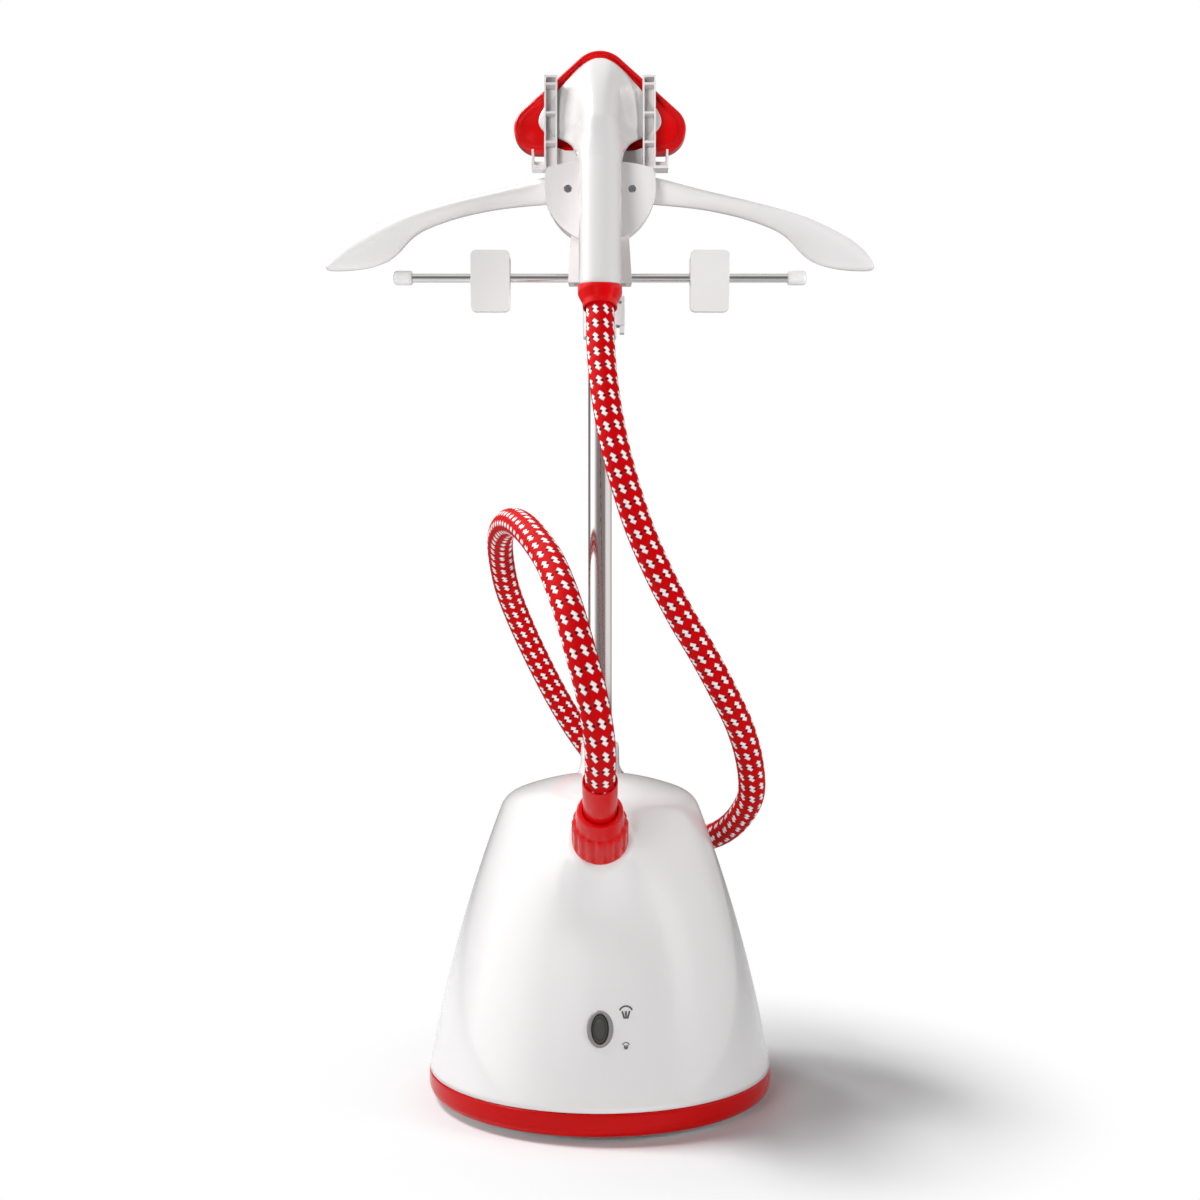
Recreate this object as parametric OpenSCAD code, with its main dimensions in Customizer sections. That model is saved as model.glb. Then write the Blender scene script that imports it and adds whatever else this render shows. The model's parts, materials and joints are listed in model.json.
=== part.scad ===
// Upright garment steamer: floor base with boiler and water tank, telescopic pole with a
// garment hanger and trouser bar, and a hand-held steam head on a braided hose.
// Units are millimetres. The origin is on the floor under the centre of the base,
// +Z is up and -Y is the front.

/* [Base] */
// Outer radius of the red skirt, the widest part of the base
skirt_r = 155; // [150:1:162]
// How far the red skirt stands out past the lower edge of the white body
skirt_proud = 0.5; // [0.5:0.1:2]
// Radius of the white body at its shoulder
shoulder_r = 91; // [86:1:96]
// Height of the shoulder above the floor
shoulder_z = 258; // [250:1:264]
// Height of the top of the dome above the floor
dome_z = 290; // [284:1:296]
// How far the side bulges out between its edge and its shoulder
side_bulge = 6; // [3:0.5:8]
// Wall of the white body and of the water tank
shell_wall = 2.5; // [2:0.1:3]
// Height of the red skirt
skirt_h = 21; // [16:1:24]
// Height of the rubber feet under the bottom plate
foot_h = 6; // [4:1:9]
// Radius of a rubber foot
foot_r = 14; // [10:1:18]
// Thickness of the bottom plate
plate_t = 4; // [3:0.5:6]

/* [Water tank] */
// Distance from the base centre back to the face where body and tank meet
split_y = 54.5; // [53:0.5:58]
// Height of the shelf that the tank stands on
shelf_z = 48; // [44:1:56]
// Distance in from the rear of the skirt to the middle of the tank cap
cap_inset = 51; // [47:1:57]
// Radius of the tank cap
cap_r = 21; // [18:0.5:24]

/* [Boiler] */
// Radius of the cast boiler
boiler_r = 50; // [42:1:54]
// Height of the boiler casting
boiler_h = 40; // [34:1:46]
// Distance from the base centre forward to the boiler
boiler_y = 52; // [48:1:56]

/* [Pole] */
// Outer radius of the fixed tube
tube_r = 11; // [10:0.5:12]
// Wall of both tubes
tube_wall = 1; // [0.8:0.1:1.4]
// Height of the top of the fixed tube
tube_top_z = 715; // [690:5:720]
// Distance from the base centre back to the pole
pole_y = 33; // [30:0.5:35]
// How far the upper tube slides out
pole_travel = 420; // [300:10:430]

/* [Connector and hose] */
// Distance from the base centre forward to the seat of the hose nut
seat_y = 111; // [109:0.5:113]
// Height of the seat of the hose nut
seat_z = 241; // [239:0.5:243]
// Rise of the hose connector above the horizontal, in degrees
seat_tilt = 40; // [38:0.5:42]
// Outer radius of the hose nut
nut_r = 23.7; // [22:0.1:25]
// Length of the hose nut
nut_h = 50; // [46:1:52]
// Radius of the steam hose
hose_r = 12.5; // [11:0.1:13]

/* [Switch] */
// Width of the switch bezel
switch_w = 22; // [18:1:26]
// Height of the switch bezel
switch_h = 30; // [26:1:36]
// Height of the switch above the floor
switch_z = 92; // [84:1:104]

/* [Hanger] */
// Radius of the round bracket that carries the hanger
bracket_r = 50.5; // [47:0.5:53]
// Height of the bracket's centre over the lower end of its neck
neck_h = 85; // [80:1:92]
// Half of the hanger's span
arm_span = 253.5; // [235:0.5:270]
// Depth of the hanger arms from front to back
arm_t = 22; // [16:1:26]
// Radius of the trouser bar
rod_r = 4; // [3:0.25:5]
// Half of the trouser bar's length without its caps
rod_half = 184; // [178:1:190]
// Distance from the bracket centre to each trouser clip at rest
clip_x = 101; // [90:1:110]
// Width of a trouser clip
clip_w = 36; // [30:1:40]

/* [Steam head] */
// Radius of the handle
handle_r = 18.5; // [17:0.5:20]
// Tilt of the handle, with its lower end forward, in degrees
handle_tilt = 14; // [13:0.5:15]
// Wall of the plastic handle and hood
head_wall = 2; // [1.6:0.1:2.6]
// Thickness of the red rim from front to back
rim_t = 16; // [13:1:20]

/* [Hidden] */
$fn = 72;

// Clearances
gap = 0.3;       // between pieces that move past each other
run = 0.05;      // radial, of a running fit
seam = 0.5;      // between the body and the tank
big = 500;       // side of a cutting block

// Heights and radii of the body of revolution
body_z0 = foot_h + skirt_h;
plate_z = foot_h + plate_t;
skirt_wall = 9;
plate_r = skirt_r - skirt_wall;
body_r = skirt_r - skirt_proud;
cap_y = skirt_r - cap_inset;
dome_r = shoulder_r - 28.5;
dome_drop = 10;
dome_edge_z = dome_z - dome_drop;

function lerp(a, b, t) = a + (b - a) * t;
function cubic(p, t) = pow(1 - t, 3) * p[0] + 3 * t * pow(1 - t, 2) * p[1]
    + 3 * t * t * (1 - t) * p[2] + pow(t, 3) * p[3];
function arc(c, r, a0, a1, n) =
    [for (i = [0:n]) c + r * [cos(lerp(a0, a1, i / n)), sin(lerp(a0, a1, i / n))]];

// Outer radius of the body's side at a height, and how far it leans back there
function side_at(z) = let (t = (z - body_z0) / (shoulder_z - body_z0))
    lerp(body_r, shoulder_r, t) + 4 * side_bulge * t * (1 - t);
function lean_at(z) = atan((side_at(z - 5) - side_at(z + 5)) / 10);

side_steps = 10;
shoulder_curve = [
    [shoulder_r, shoulder_z], [shoulder_r - 4.5, shoulder_z + 14],
    [dome_r + 12.5, dome_edge_z - 4], [dome_r, dome_edge_z]
];
body_line = concat(
    [for (i = [0:side_steps]) let (z = lerp(body_z0, shoulder_z, i / side_steps)) [side_at(z), z]],
    [for (i = [1:5]) cubic(shoulder_curve, i / 6)],
    [for (i = [0:5]) let (k = 1 - i / 5) [dome_r * k, dome_z - dome_drop * k * k]]
);
// A line moved towards the axis by a wall's thickness
function inset(p, d) = [for (i = [0:len(p) - 1])
    let (a = p[max(i - 1, 0)], b = p[min(i + 1, len(p) - 1)], t = (b - a) / norm(b - a))
    [max(0, p[i][0] - d * t[1]), p[i][1] + d * t[0]]];
inner_line = inset(body_line, shell_wall);

// Water tank and its valve
tank_y = split_y + seam;
shelf_top = shelf_z - seam;
shelf_under = shelf_top - shell_wall;
plug_r = cap_r - 6.3;
plug_top = shelf_z + 10;
cap_floor = shelf_z - 4;
cap_bottom = cap_floor - 4;
seat_floor = cap_bottom - 7;
seat_r = cap_r + 3;
stem_r = 3;
disc_r = 7;
disc_z = cap_floor + 2;
disc_t = 2;
spring_top = plug_top - 2;
feed_x = 25;
feed_r = 5;
feed_z = seat_floor + 1;

// Boiler
boiler_z = plate_z + 6;
boiler_top = boiler_z + boiler_h;
boiler_wall = 7;
cover_t = 5;
gasket_t = 1;
cover_z = boiler_top + gasket_t;
nipple_r = 7;
pipe_wall = 2;
elbow_back = 60;

// Connector on the front of the body
boss_len = 80;
boss_root_r = 62;
boss_r = nut_r + 2.3;
spigot_r = 12;
spigot_h = 24;
cuff_r = hose_r + 1.7;
cuff_len = 90;
cuff_seat = 65.2;
cuff_bore_r = hose_r + 0.8;
flange_h = 3;
flutes = 16;
boiler_nipple_y = -(seat_y - elbow_back * cos(seat_tilt));

// Pole
tube_bore_r = tube_r - tube_wall;
slide_r = tube_bore_r - 0.5;
slide_z = tube_top_z - pole_travel - 115;
socket_r = tube_r + 4;
collar_r = tube_r + 7;
collar_h = 26;
lock_top = tube_top_z + 18;
lock_r = tube_r + 5;
lever_x = tube_r + 8;
lever_w = 8;
lever_pivot_z = lock_top - 6;
lever_len = 28;

// Hanger bracket, from its front cover back to the pole
neck_z = lock_top + 3;
bracket_z = neck_z + neck_h;
neck_half_top = 26;
neck_half_low = 29;
cover_front = -19;
cover_back = -10;
plate_back = 2;
arch_r = 178;
arch_z = bracket_z + 23.7;
rod_y = 10;
rod_z = neck_z + 9.6;
neck_back = rod_y + 8;
neck_rise = 2.6;
screw_x = 29;
cover_screw_z = bracket_z - 2;
arm_y0 = 8 - arm_t / 2;
arm_y1 = 8 + arm_t / 2;
tongue_t = 10;
disc_in_r = bracket_r - 1.5;

// Cradle of the steam head
post_in = 39;
post_out = 50.8;
post_y0 = -9;
post_y1 = 5;
post_top = bracket_z + 105;
post_z0 = bracket_z + 20;
post_ribs = [43, 69.7, 96];
rim_z = bracket_z + 41;
rim_h = 94;
rim_y = 8;

// Steam head
handle_z = bracket_z - 102.9;
handle_y = cover_front - 3 - handle_r / cos(handle_tilt)
    - (arch_z - handle_z) * tan(handle_tilt);
handle_len = 167.7;
// Lean of the seam between the handle and its collar, lower at the front, in degrees
end_lean = 20;
hose_collar_h = 22;
rim_top_r = 28;
rim_low_r = 22;
rim_low_x = 57.5;
duct_r = 6;
duct_turn = handle_len - 2;

// Clips
hub_r = 5.8;
fold_y = 8.5;
jaw_t = 2.2;
clip_up = 23.5;
clip_down = 31.5;
knuckle_w = 7;

// Centre line of the steam hose, from inside its cuff to the collar of the handle
hose_route = [
    [0, -161, 283], [0, -180, 299], [0, -203, 328], [-5.5, -216, 364], [-15.5, -214, 403],
    [-26.5, -199, 440], [-39, -172, 471], [-53, -137, 493], [-65, -97, 507], [-76, -53, 515],
    [-86, -8, 516], [-94, 38, 508], [-96, 80, 490], [-92, 115, 462], [-80, 141, 428],
    [-63.5, 156, 391], [-43.5, 162, 352], [-21.5, 162, 316], [4, 157, 283], [29, 149, 251],
    [53, 137, 228], [78, 118, 216], [103, 92, 218], [120.5, 61, 230], [132.6, 28, 249],
    [138.5, -2, 272], [134, -28, 303], [123, -51, 335], [107, -69, 366], [89, -82, 398],
    [69, -92, 431], [50.5, -99, 466], [34.5, -103, 502], [22, -105, 539], [12, -104, 577],
    [5, -99, 616], [1, -89, 656], [0, -78, 699]
];
hose_sides = 10;

// Frames of reference
module on_seat() translate([0, -seat_y, seat_z]) rotate([90 - seat_tilt, 0, 0]) children();
module on_slope(z) translate([0, -side_at(z), z]) rotate([90 - lean_at(z), 0, 0]) children();
module at_pole() translate([0, pole_y, 0]) children();
module on_handle() translate([0, handle_y, handle_z]) rotate([-handle_tilt, 0, 0]) children();
// An outline drawn in X and Z, with a thickness from y0 back to y1
module upright(y0, y1) translate([0, y1, 0]) rotate([90, 0, 0]) linear_extrude(y1 - y0) children();
module along_x(x0, x1, r) translate([x0, 0, 0]) rotate([0, 90, 0]) cylinder(h = x1 - x0, r = r);
module along_y(y0, y1, r) translate([0, y0, 0]) rotate([-90, 0, 0]) cylinder(h = y1 - y0, r = r);
module box(a, b) translate(a) cube(b - a);
module ring(r_out, r_in, h) difference() {
    cylinder(h = h, r = r_out);
    translate([0, 0, -1]) cylinder(h = h + 2, r = r_in);
}
module torus(r, wire) rotate_extrude() translate([r, 0]) circle(wire, $fn = 24);
module oval(w, h) polygon([for (i = [0:39]) [w / 2 * cos(i * 9), h / 2 * sin(i * 9)]]);

// ---- Base ----
foot_ring = skirt_r - 37;
screw_ring = skirt_r - 15.5;
post_r = 6;
post_h = 65;
rib_w = 2.5;
module four_corners(r) for (a = [45:90:315]) rotate(a) translate([r, 0, 0]) children();

module rubber_feet() color("dimgray") four_corners(foot_ring) {
    cylinder(h = foot_h, r = foot_r);
    cylinder(h = plate_z - 1, r = 5);
}

module bottom_plate() color("whitesmoke") difference() {
    union() {
        translate([0, 0, foot_h]) cylinder(h = plate_t, r = plate_r, $fn = 120);
        for (a = [30:120:270])
            translate([0, -boiler_y, foot_h]) rotate(a) translate([boiler_r - 8, 0, 0])
                cylinder(h = boiler_z - foot_h, r = 5);
        translate([0, cap_y, foot_h]) cylinder(h = seat_floor - 3 - foot_h, r = 9);
    }
    four_corners(foot_ring) cylinder(h = plate_z - 1, r = 5);
    four_corners(screw_ring) cylinder(h = plate_z + 1, r = 2);
    four_corners(screw_ring) cylinder(h = foot_h + 1.5, r = 4);
}

module red_skirt() color("crimson") rotate_extrude($fn = 120) polygon([
    [plate_r, foot_h], [skirt_r - 5, foot_h], [skirt_r - 2.3, foot_h + 2],
    [skirt_r - 0.7, foot_h + 5], [skirt_r, foot_h + 9], [skirt_r, body_z0 - 2],
    [skirt_r - 0.4, body_z0], [plate_r, body_z0]
]);

module body_outer() rotate_extrude($fn = 120) polygon(concat([[0, body_z0]], body_line));
module body_inner() rotate_extrude($fn = 120)
    polygon(concat([[0, body_z0 - 1], [inner_line[0][0], body_z0 - 1]], inner_line));
// Everything in front of y1, and everything below z1
module front_and_low(y1, z1) {
    box([-big, -big, -big], [big, y1, big]);
    box([-big, -big, -big], [big, big, z1]);
}
// Swelling of the body around the hose connector
module boss(d) translate([0, 0, -boss_len])
    cylinder(h = boss_len - d, r1 = boss_root_r - d, r2 = boss_r - d);

module front_shell() color("white") difference() {
    union() {
        difference() {
            union() {
                intersection() {
                    body_outer();
                    front_and_low(split_y, shelf_top);
                }
                on_seat() boss(0);
            }
            intersection() {
                body_inner();
                front_and_low(split_y - shell_wall, shelf_under);
            }
            on_seat() boss(shell_wall);
        }
        // Posts for the base screws, each with a rib out to the wall
        intersection() {
            union() {
                body_outer();
                cylinder(h = body_z0 + 1, r = plate_r - gap);
            }
            four_corners(screw_ring) translate([0, 0, plate_z]) {
                cylinder(h = post_h, r = post_r);
                box([0, -rib_w / 2, 0], [body_r / 3, rib_w / 2, post_h]);
            }
            front_and_low(split_y, shelf_top);
        }
    }
    four_corners(screw_ring) cylinder(h = plate_z + 16, r = 2);
    on_seat() translate([0, 0, -shell_wall - 1]) cylinder(h = shell_wall + 2, r = spigot_r);
    at_pole() translate([0, 0, shelf_z]) cylinder(h = big, r = socket_r);
    on_slope(switch_z) {
        translate([0, 0, -0.6]) linear_extrude(5) oval(switch_w, switch_h);
        translate([0, 0, -10]) linear_extrude(15) oval(switch_w - 3, switch_h - 3);
    }
    translate([0, cap_y, shelf_under - 1]) cylinder(h = shell_wall + 2, r = seat_r);
    translate([0, 0, gland_z]) along_y(plate_r, big, gland_r);
}

module base_screws() color("silver") four_corners(screw_ring) {
    translate([0, 0, foot_h - 0.5]) cylinder(h = 2, r = 4);
    translate([0, 0, foot_h]) cylinder(h = plate_z - foot_h + 16, r = 2);
}

gland_z = shelf_under - 9.5;
gland_r = 7.5;
gland_lip = 1.5;
module mains_gland() color("dimgray") translate([0, 0, gland_z]) difference() {
    union() {
        along_y(plate_r - 4, skirt_r - 1.5, gland_r);
        along_y(plate_r - 4, plate_r - 1, gland_r + gland_lip);
    }
    along_y(0, big, gland_r / 2);
}

// ---- Boiler ----
module at_boiler() translate([0, -boiler_y, 0]) children();

module boiler_casting() color("lightgray") difference() {
    union() {
        at_boiler() translate([0, 0, boiler_z]) cylinder(h = boiler_h, r = boiler_r);
        translate([feed_x, 0, feed_z]) along_y(-boiler_y, feed_front, feed_r);
    }
    at_boiler() translate([0, 0, boiler_z + 6]) cylinder(h = boiler_h, r = boiler_r - boiler_wall);
    translate([feed_x, 0, feed_z]) along_y(-boiler_y, feed_front + 1, feed_r - 1.5);
    at_boiler() for (s = [-1, 1]) translate([10 * s, -element_r * cos(16), boiler_z - 1])
        cylinder(h = 8, r = 3.5);
    at_boiler() four_corners(boiler_r - 3.5) translate([0, 0, boiler_top - 14])
        cylinder(h = 20, r = 1.5);
}

module boiler_gasket() color("darkred") at_boiler() translate([0, 0, boiler_top]) difference() {
    ring(boiler_r, boiler_r - boiler_wall, gasket_t);
    four_corners(boiler_r - 3.5) translate([0, 0, -1]) cylinder(h = 3, r = 1.5);
}

module boiler_cover() color("lightgray") difference() {
    union() {
        at_boiler() translate([0, 0, cover_z]) cylinder(h = cover_t, r = boiler_r);
        translate([0, boiler_nipple_y, cover_z]) cylinder(h = cover_t + 5, r = nipple_r + 6);
        translate([0, boiler_nipple_y, cover_z]) cylinder(h = cover_t + 18, r = nipple_r);
    }
    translate([0, boiler_nipple_y, cover_z - 1]) cylinder(h = cover_t + 20, r = nipple_r - 2);
    at_boiler() four_corners(boiler_r - 3.5) translate([0, 0, cover_z - 1])
        cylinder(h = cover_t + 2, r = 1.5);
}

element_in = 16;
element_up = 11;
element_r = boiler_r - element_in;
element_z = boiler_z + element_up;
thermostat_x = 24;
thermostat_y = 22;
module heating_element() color("gray") at_boiler() {
    translate([0, 0, element_z]) rotate(-72) rotate_extrude(angle = 324)
        translate([element_r, 0]) circle(3.5, $fn = 24);
    for (s = [-1, 1]) translate([10 * s, -element_r * cos(16), boiler_z - 4])
        cylinder(h = element_z - boiler_z + 4, r = 3.5);
}

module thermostat() color("tan") at_boiler() translate([thermostat_x, thermostat_y, cover_z + cover_t]) {
    cylinder(h = 8, r = 8);
    for (s = [-1, 1]) box([5 * s - 1.5, -0.4, 8], [5 * s + 1.5, 0.4, 15]);
}

module thermal_fuse() color("beige") at_boiler() translate([-24, 22, cover_z + cover_t + 3]) {
    along_x(-12, 12, 3);
    along_x(-20, 20, 0.8);
}

// ---- Water path ----
feed_front = 12 - (boiler_y - sqrt(pow(boiler_r, 2) - pow(feed_x, 2)));
feed_back = cap_y - seat_r - 10;
feed_nozzle = 8;

module valve_seat() color("gainsboro") difference() {
    union() {
        translate([0, cap_y, seat_floor - 3]) cylinder(h = shelf_under - seat_floor + 3, r = seat_r + 3);
        translate([feed_x, 0, feed_z]) along_y(feed_back, cap_y + 2, feed_r);
    }
    difference() {
        translate([0, cap_y, seat_floor]) cylinder(h = big, r = seat_r);
        translate([0, cap_y, 0]) cylinder(h = stem_foot - gap, r = 2);
    }
    translate([feed_x, 0, feed_z]) along_y(feed_back - 1, cap_y, feed_r - 1.5);
}
stem_foot = cap_bottom - 3;

module feed_tube() color("white", 0.6) translate([feed_x, 0, feed_z]) difference() {
    along_y(feed_front - feed_nozzle, feed_back + feed_nozzle, feed_r + pipe_wall);
    along_y(-big, big, feed_r);
}

boiler_pipe_z = cover_z + cover_t + 6;
elbow_z = seat_z - elbow_back * sin(seat_tilt);
module steam_pipe() color("lightgray") difference() {
    union() {
        translate([0, boiler_nipple_y, boiler_pipe_z])
            cylinder(h = elbow_z - boiler_pipe_z, r = nipple_r + pipe_wall);
        on_seat() translate([0, 0, -elbow_back]) {
            sphere(r = nipple_r + pipe_wall + 1.5);
            cylinder(h = elbow_back - 12, r = nipple_r + pipe_wall);
        }
    }
    translate([0, boiler_nipple_y, 0]) cylinder(h = elbow_z + 2, r = nipple_r);
    on_seat() translate([0, 0, -elbow_back - 1]) cylinder(h = elbow_back - 24, r = nipple_r - 0.5);
    on_seat() translate([0, 0, -26]) cylinder(h = 30, r = nipple_r);
}

// ---- Water tank ----
module back_block(y0, z0) box([-big, y0, z0], [big, big, big]);

module water_tank() color("white", 0.7) difference() {
    union() {
        difference() {
            intersection() {
                body_outer();
                back_block(tank_y, shelf_z);
            }
            intersection() {
                body_inner();
                back_block(tank_y + shell_wall, shelf_z + shell_wall);
            }
        }
        translate([0, cap_y, shelf_z]) cylinder(h = plug_top - shelf_z, r = plug_r + gap + 2.5);
    }
    translate([0, cap_y, shelf_z - 1]) cylinder(h = big / 20, r = plug_r + gap);
}

module tank_cap() color("lightgray") translate([0, cap_y, 0]) difference() {
    union() {
        translate([0, 0, cap_bottom]) cylinder(h = shelf_z - gap - cap_bottom, r = cap_r);
        translate([0, 0, cap_bottom]) cylinder(h = plug_top - cap_bottom, r = plug_r);
    }
    translate([0, 0, cap_floor]) cylinder(h = big, r = plug_r - 3);
    cylinder(h = big, r = stem_r + 1);
    translate([0, 0, shelf_z + 5]) torus(plug_r, 1);
    for (i = [0:11]) rotate(i * 30) translate([cap_r + 1, 0, 0]) cylinder(h = big, r = 2);
}

module cap_seal() color("dimgray") translate([0, cap_y, shelf_z + 5]) intersection() {
    torus(plug_r, 1);
    translate([0, 0, -2]) cylinder(h = 4, r = plug_r + gap / 2);
}

module valve_plunger() color("orange") translate([0, cap_y, 0]) {
    translate([0, 0, stem_foot]) cylinder(h = spring_top - 4 - stem_foot, r = stem_r);
    translate([0, 0, disc_z]) cylinder(h = disc_t, r = disc_r);
}

spring_turns = 4;
module valve_spring() color("silver") translate([0, cap_y, disc_z + disc_t])
    for (i = [0:spring_turns - 1])
        translate([0, 0, (spring_top - disc_z - disc_t) * (i + 0.5) / spring_turns])
            torus(5, 0.6);

module valve_retainer() color("gainsboro") translate([0, cap_y, spring_top]) difference() {
    cylinder(h = 2, r = plug_r - 3);
    four_corners(7.5) translate([0, 0, -1]) cylinder(h = 4, r = 2.2);
}

// ---- Switch ----
bezel_depth = 7;
well_w = switch_w - 8;
well_h = switch_h - 6;
rocker_play = 0.6;
module switch_bezel() color("silver") on_slope(switch_z) difference() {
    union() {
        translate([0, 0, -0.6]) linear_extrude(1.9) oval(switch_w, switch_h);
        translate([0, 0, -bezel_depth]) linear_extrude(bezel_depth) oval(switch_w - 3, switch_h - 3);
    }
    translate([0, 0, -bezel_depth - 1]) linear_extrude(big) oval(well_w, well_h);
    translate([0, 0, -4]) along_x(-well_w / 2 - 2, well_w / 2 + 2, 1 + run);
}

module switch_body() color("dimgray") on_slope(switch_z) {
    box([-8, -11, -bezel_depth - 16], [8, 11, -bezel_depth]);
    for (i = [-1:1]) box([-0.4, i * 7 - 2, -bezel_depth - 24], [0.4, i * 7 + 2, -bezel_depth - 16]);
}

module switch_rocker() color("gray") on_slope(switch_z) {
    translate([0, 0, -5]) linear_extrude(5.6) oval(well_w - 2 * rocker_play, well_h - 2 * rocker_play);
    translate([0, 0, 0.6]) linear_extrude(1) oval(well_w - 5, well_h - 8);
    translate([0, 0, -4]) along_x(-well_w / 2 - 1.5, well_w / 2 + 1.5, 1);
}

// ---- Pole ----
socket_top = dome_z - 4;
module pole_socket() color("whitesmoke") at_pole() difference() {
    union() {
        translate([0, 0, plate_z]) cylinder(h = socket_top - plate_z, r = socket_r);
        translate([0, 0, plate_z]) cylinder(h = 4, r = socket_r + 6);
    }
    translate([0, 0, tube_foot_z]) cylinder(h = big, r = tube_r);
}
tube_foot_z = plate_z + 8;

module pole_collar() color("mistyrose") difference() {
    at_pole() translate([0, 0, dome_z - 8]) cylinder(h = collar_h + 8, r = collar_r);
    body_outer();
    at_pole() cylinder(h = socket_top, r = socket_r);
    at_pole() cylinder(h = big, r = tube_r);
}

module fixed_tube() color("silver") at_pole() translate([0, 0, tube_foot_z])
    ring(tube_r, tube_bore_r, tube_top_z - tube_foot_z);

module sliding_tube() color("silver") at_pole() translate([0, 0, slide_z])
    ring(slide_r, slide_r - tube_wall, bracket_z + 7 - slide_z);

module slide_bush() color("dimgray") at_pole() translate([0, 0, slide_z])
    ring(tube_bore_r - run, slide_r, 20);

module lock_collar() color("white") at_pole() difference() {
    union() {
        translate([0, 0, tube_top_z - 20]) cylinder(h = lock_top - tube_top_z + 20, r = lock_r);
        box([8, -lever_w / 2 - 3, lock_top - 27], [lever_x + 4, lever_w / 2 + 3, lock_top]);
    }
    cylinder(h = tube_top_z, r = tube_r);
    cylinder(h = big * 2, r = slide_r + run);
    box([lock_r - 1.5, -lever_w / 2 - gap, lock_top - big], [big, lever_w / 2 + gap, big * 2]);
    translate([lever_x, 0, lever_pivot_z]) along_y(-lever_w, lever_w, 1.5);
}

module lock_pin() color("silver") at_pole() translate([lever_x, 0, lever_pivot_z])
    along_y(-lever_w / 2 - 3, lever_w / 2 + 3, 1.5);

module lock_lever() color("gainsboro") at_pole() difference() {
    union() {
        translate([lever_x, 0, lever_pivot_z]) along_y(-lever_w / 2, lever_w / 2, 3.8);
        box([lever_x - 0.5, -lever_w / 2, lever_pivot_z - lever_len],
            [lever_x + 3.8, lever_w / 2, lever_pivot_z]);
    }
    translate([lever_x, 0, lever_pivot_z]) along_y(-lever_w, lever_w, 1.5 + run);
}

// ---- Hose connector ----
module hose_spigot() color("white") on_seat() difference() {
    union() {
        translate([0, 0, -shell_wall]) cylinder(h = spigot_h + shell_wall, r = spigot_r);
        translate([0, 0, -shell_wall - 3]) cylinder(h = 3, r = spigot_r + 6);
        translate([0, 0, -25]) cylinder(h = 22, r = nipple_r);
    }
    translate([0, 0, -30]) cylinder(h = big, r = nipple_r - 2);
    translate([0, 0, spigot_h - 5]) torus(spigot_r, 1);
}

module spigot_seal() color("dimgray") on_seat() translate([0, 0, spigot_h - 5]) intersection() {
    torus(spigot_r, 1);
    translate([0, 0, -2]) cylinder(h = 4, r = spigot_r + gap / 2);
}

cuff_flange_z = spigot_h + 0.6;
module hose_nut() color("red") on_seat() difference() {
    rotate_extrude() polygon([
        [spigot_r + gap, gap], [nut_r - 2, gap], [nut_r, 3], [nut_r, nut_h * 0.56],
        [nut_r - 1.2, nut_h * 0.66], [cuff_r + 4.6, nut_h * 0.76], [cuff_r + 3, nut_h * 0.92],
        [cuff_r + 2.4, nut_h], [cuff_r + gap, nut_h], [cuff_r + gap, cuff_flange_z + flange_h + gap],
        [cuff_r + 4, cuff_flange_z + flange_h + gap], [cuff_r + 4, spigot_h - gap],
        [spigot_r + gap, spigot_h - gap]
    ]);
    for (i = [0:flutes - 1]) rotate(360 / flutes * i) translate([nut_r + 1.3, 0, 5])
        cylinder(h = nut_h, r = 2.3);
}

module hose_cuff() color("red") on_seat() difference() {
    union() {
        translate([0, 0, spigot_h]) cylinder(h = cuff_len - spigot_h, r = cuff_r);
        translate([0, 0, cuff_flange_z]) cylinder(h = flange_h, r = cuff_r + 3.5);
    }
    cylinder(h = cuff_seat, r = nipple_r);
    translate([0, 0, cuff_seat]) cylinder(h = big, r = cuff_bore_r);
}

// The hose follows its route as one tube, with a ring of points square to the route at each
// point. Each ring is turned from the one before it by the shortest way, so it never twists.
function unit(v) = v / norm(v);
function heading(i) = let (n = len(hose_route) - 1)
    unit(hose_route[min(i + 1, n)] - hose_route[max(i - 1, 0)]);
function side_ways(i) = i == 0 ? [1, 0, 0] :
    let (s = side_ways(i - 1), d = heading(i)) unit(s - (s * d) * d);
module steam_hose() color("red") {
    n = len(hose_route);
    m = hose_sides;
    points = [for (i = [0:n - 1])
        let (d = heading(i), s = side_ways(i), u = cross(d, s))
        for (k = [0:m - 1]) hose_route[i] + hose_r * (s * cos(360 * k / m) + u * sin(360 * k / m))];
    walls = [for (i = [0:n - 2]) for (k = [0:m - 1])
        [i * m + k, i * m + (k + 1) % m, (i + 1) * m + (k + 1) % m, (i + 1) * m + k]];
    ends = [[for (k = [m - 1:-1:0]) k], [for (k = [0:m - 1]) (n - 1) * m + k]];
    polyhedron(points, concat(walls, ends), convexity = 8);
}

// ---- Hanger bracket ----
module bracket_outline(r) intersection() {
    translate([0, bracket_z]) circle(r);
    translate([0, arch_z - arch_r]) circle(arch_r, $fn = 180);
}
module neck_outline() polygon([
    [-neck_half_low, neck_z], [neck_half_low, neck_z],
    [neck_half_top, bracket_z - 35], [-neck_half_top, bracket_z - 35]
]);
module both_sides() for (s = [0, 1]) mirror([s, 0, 0]) children();

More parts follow.
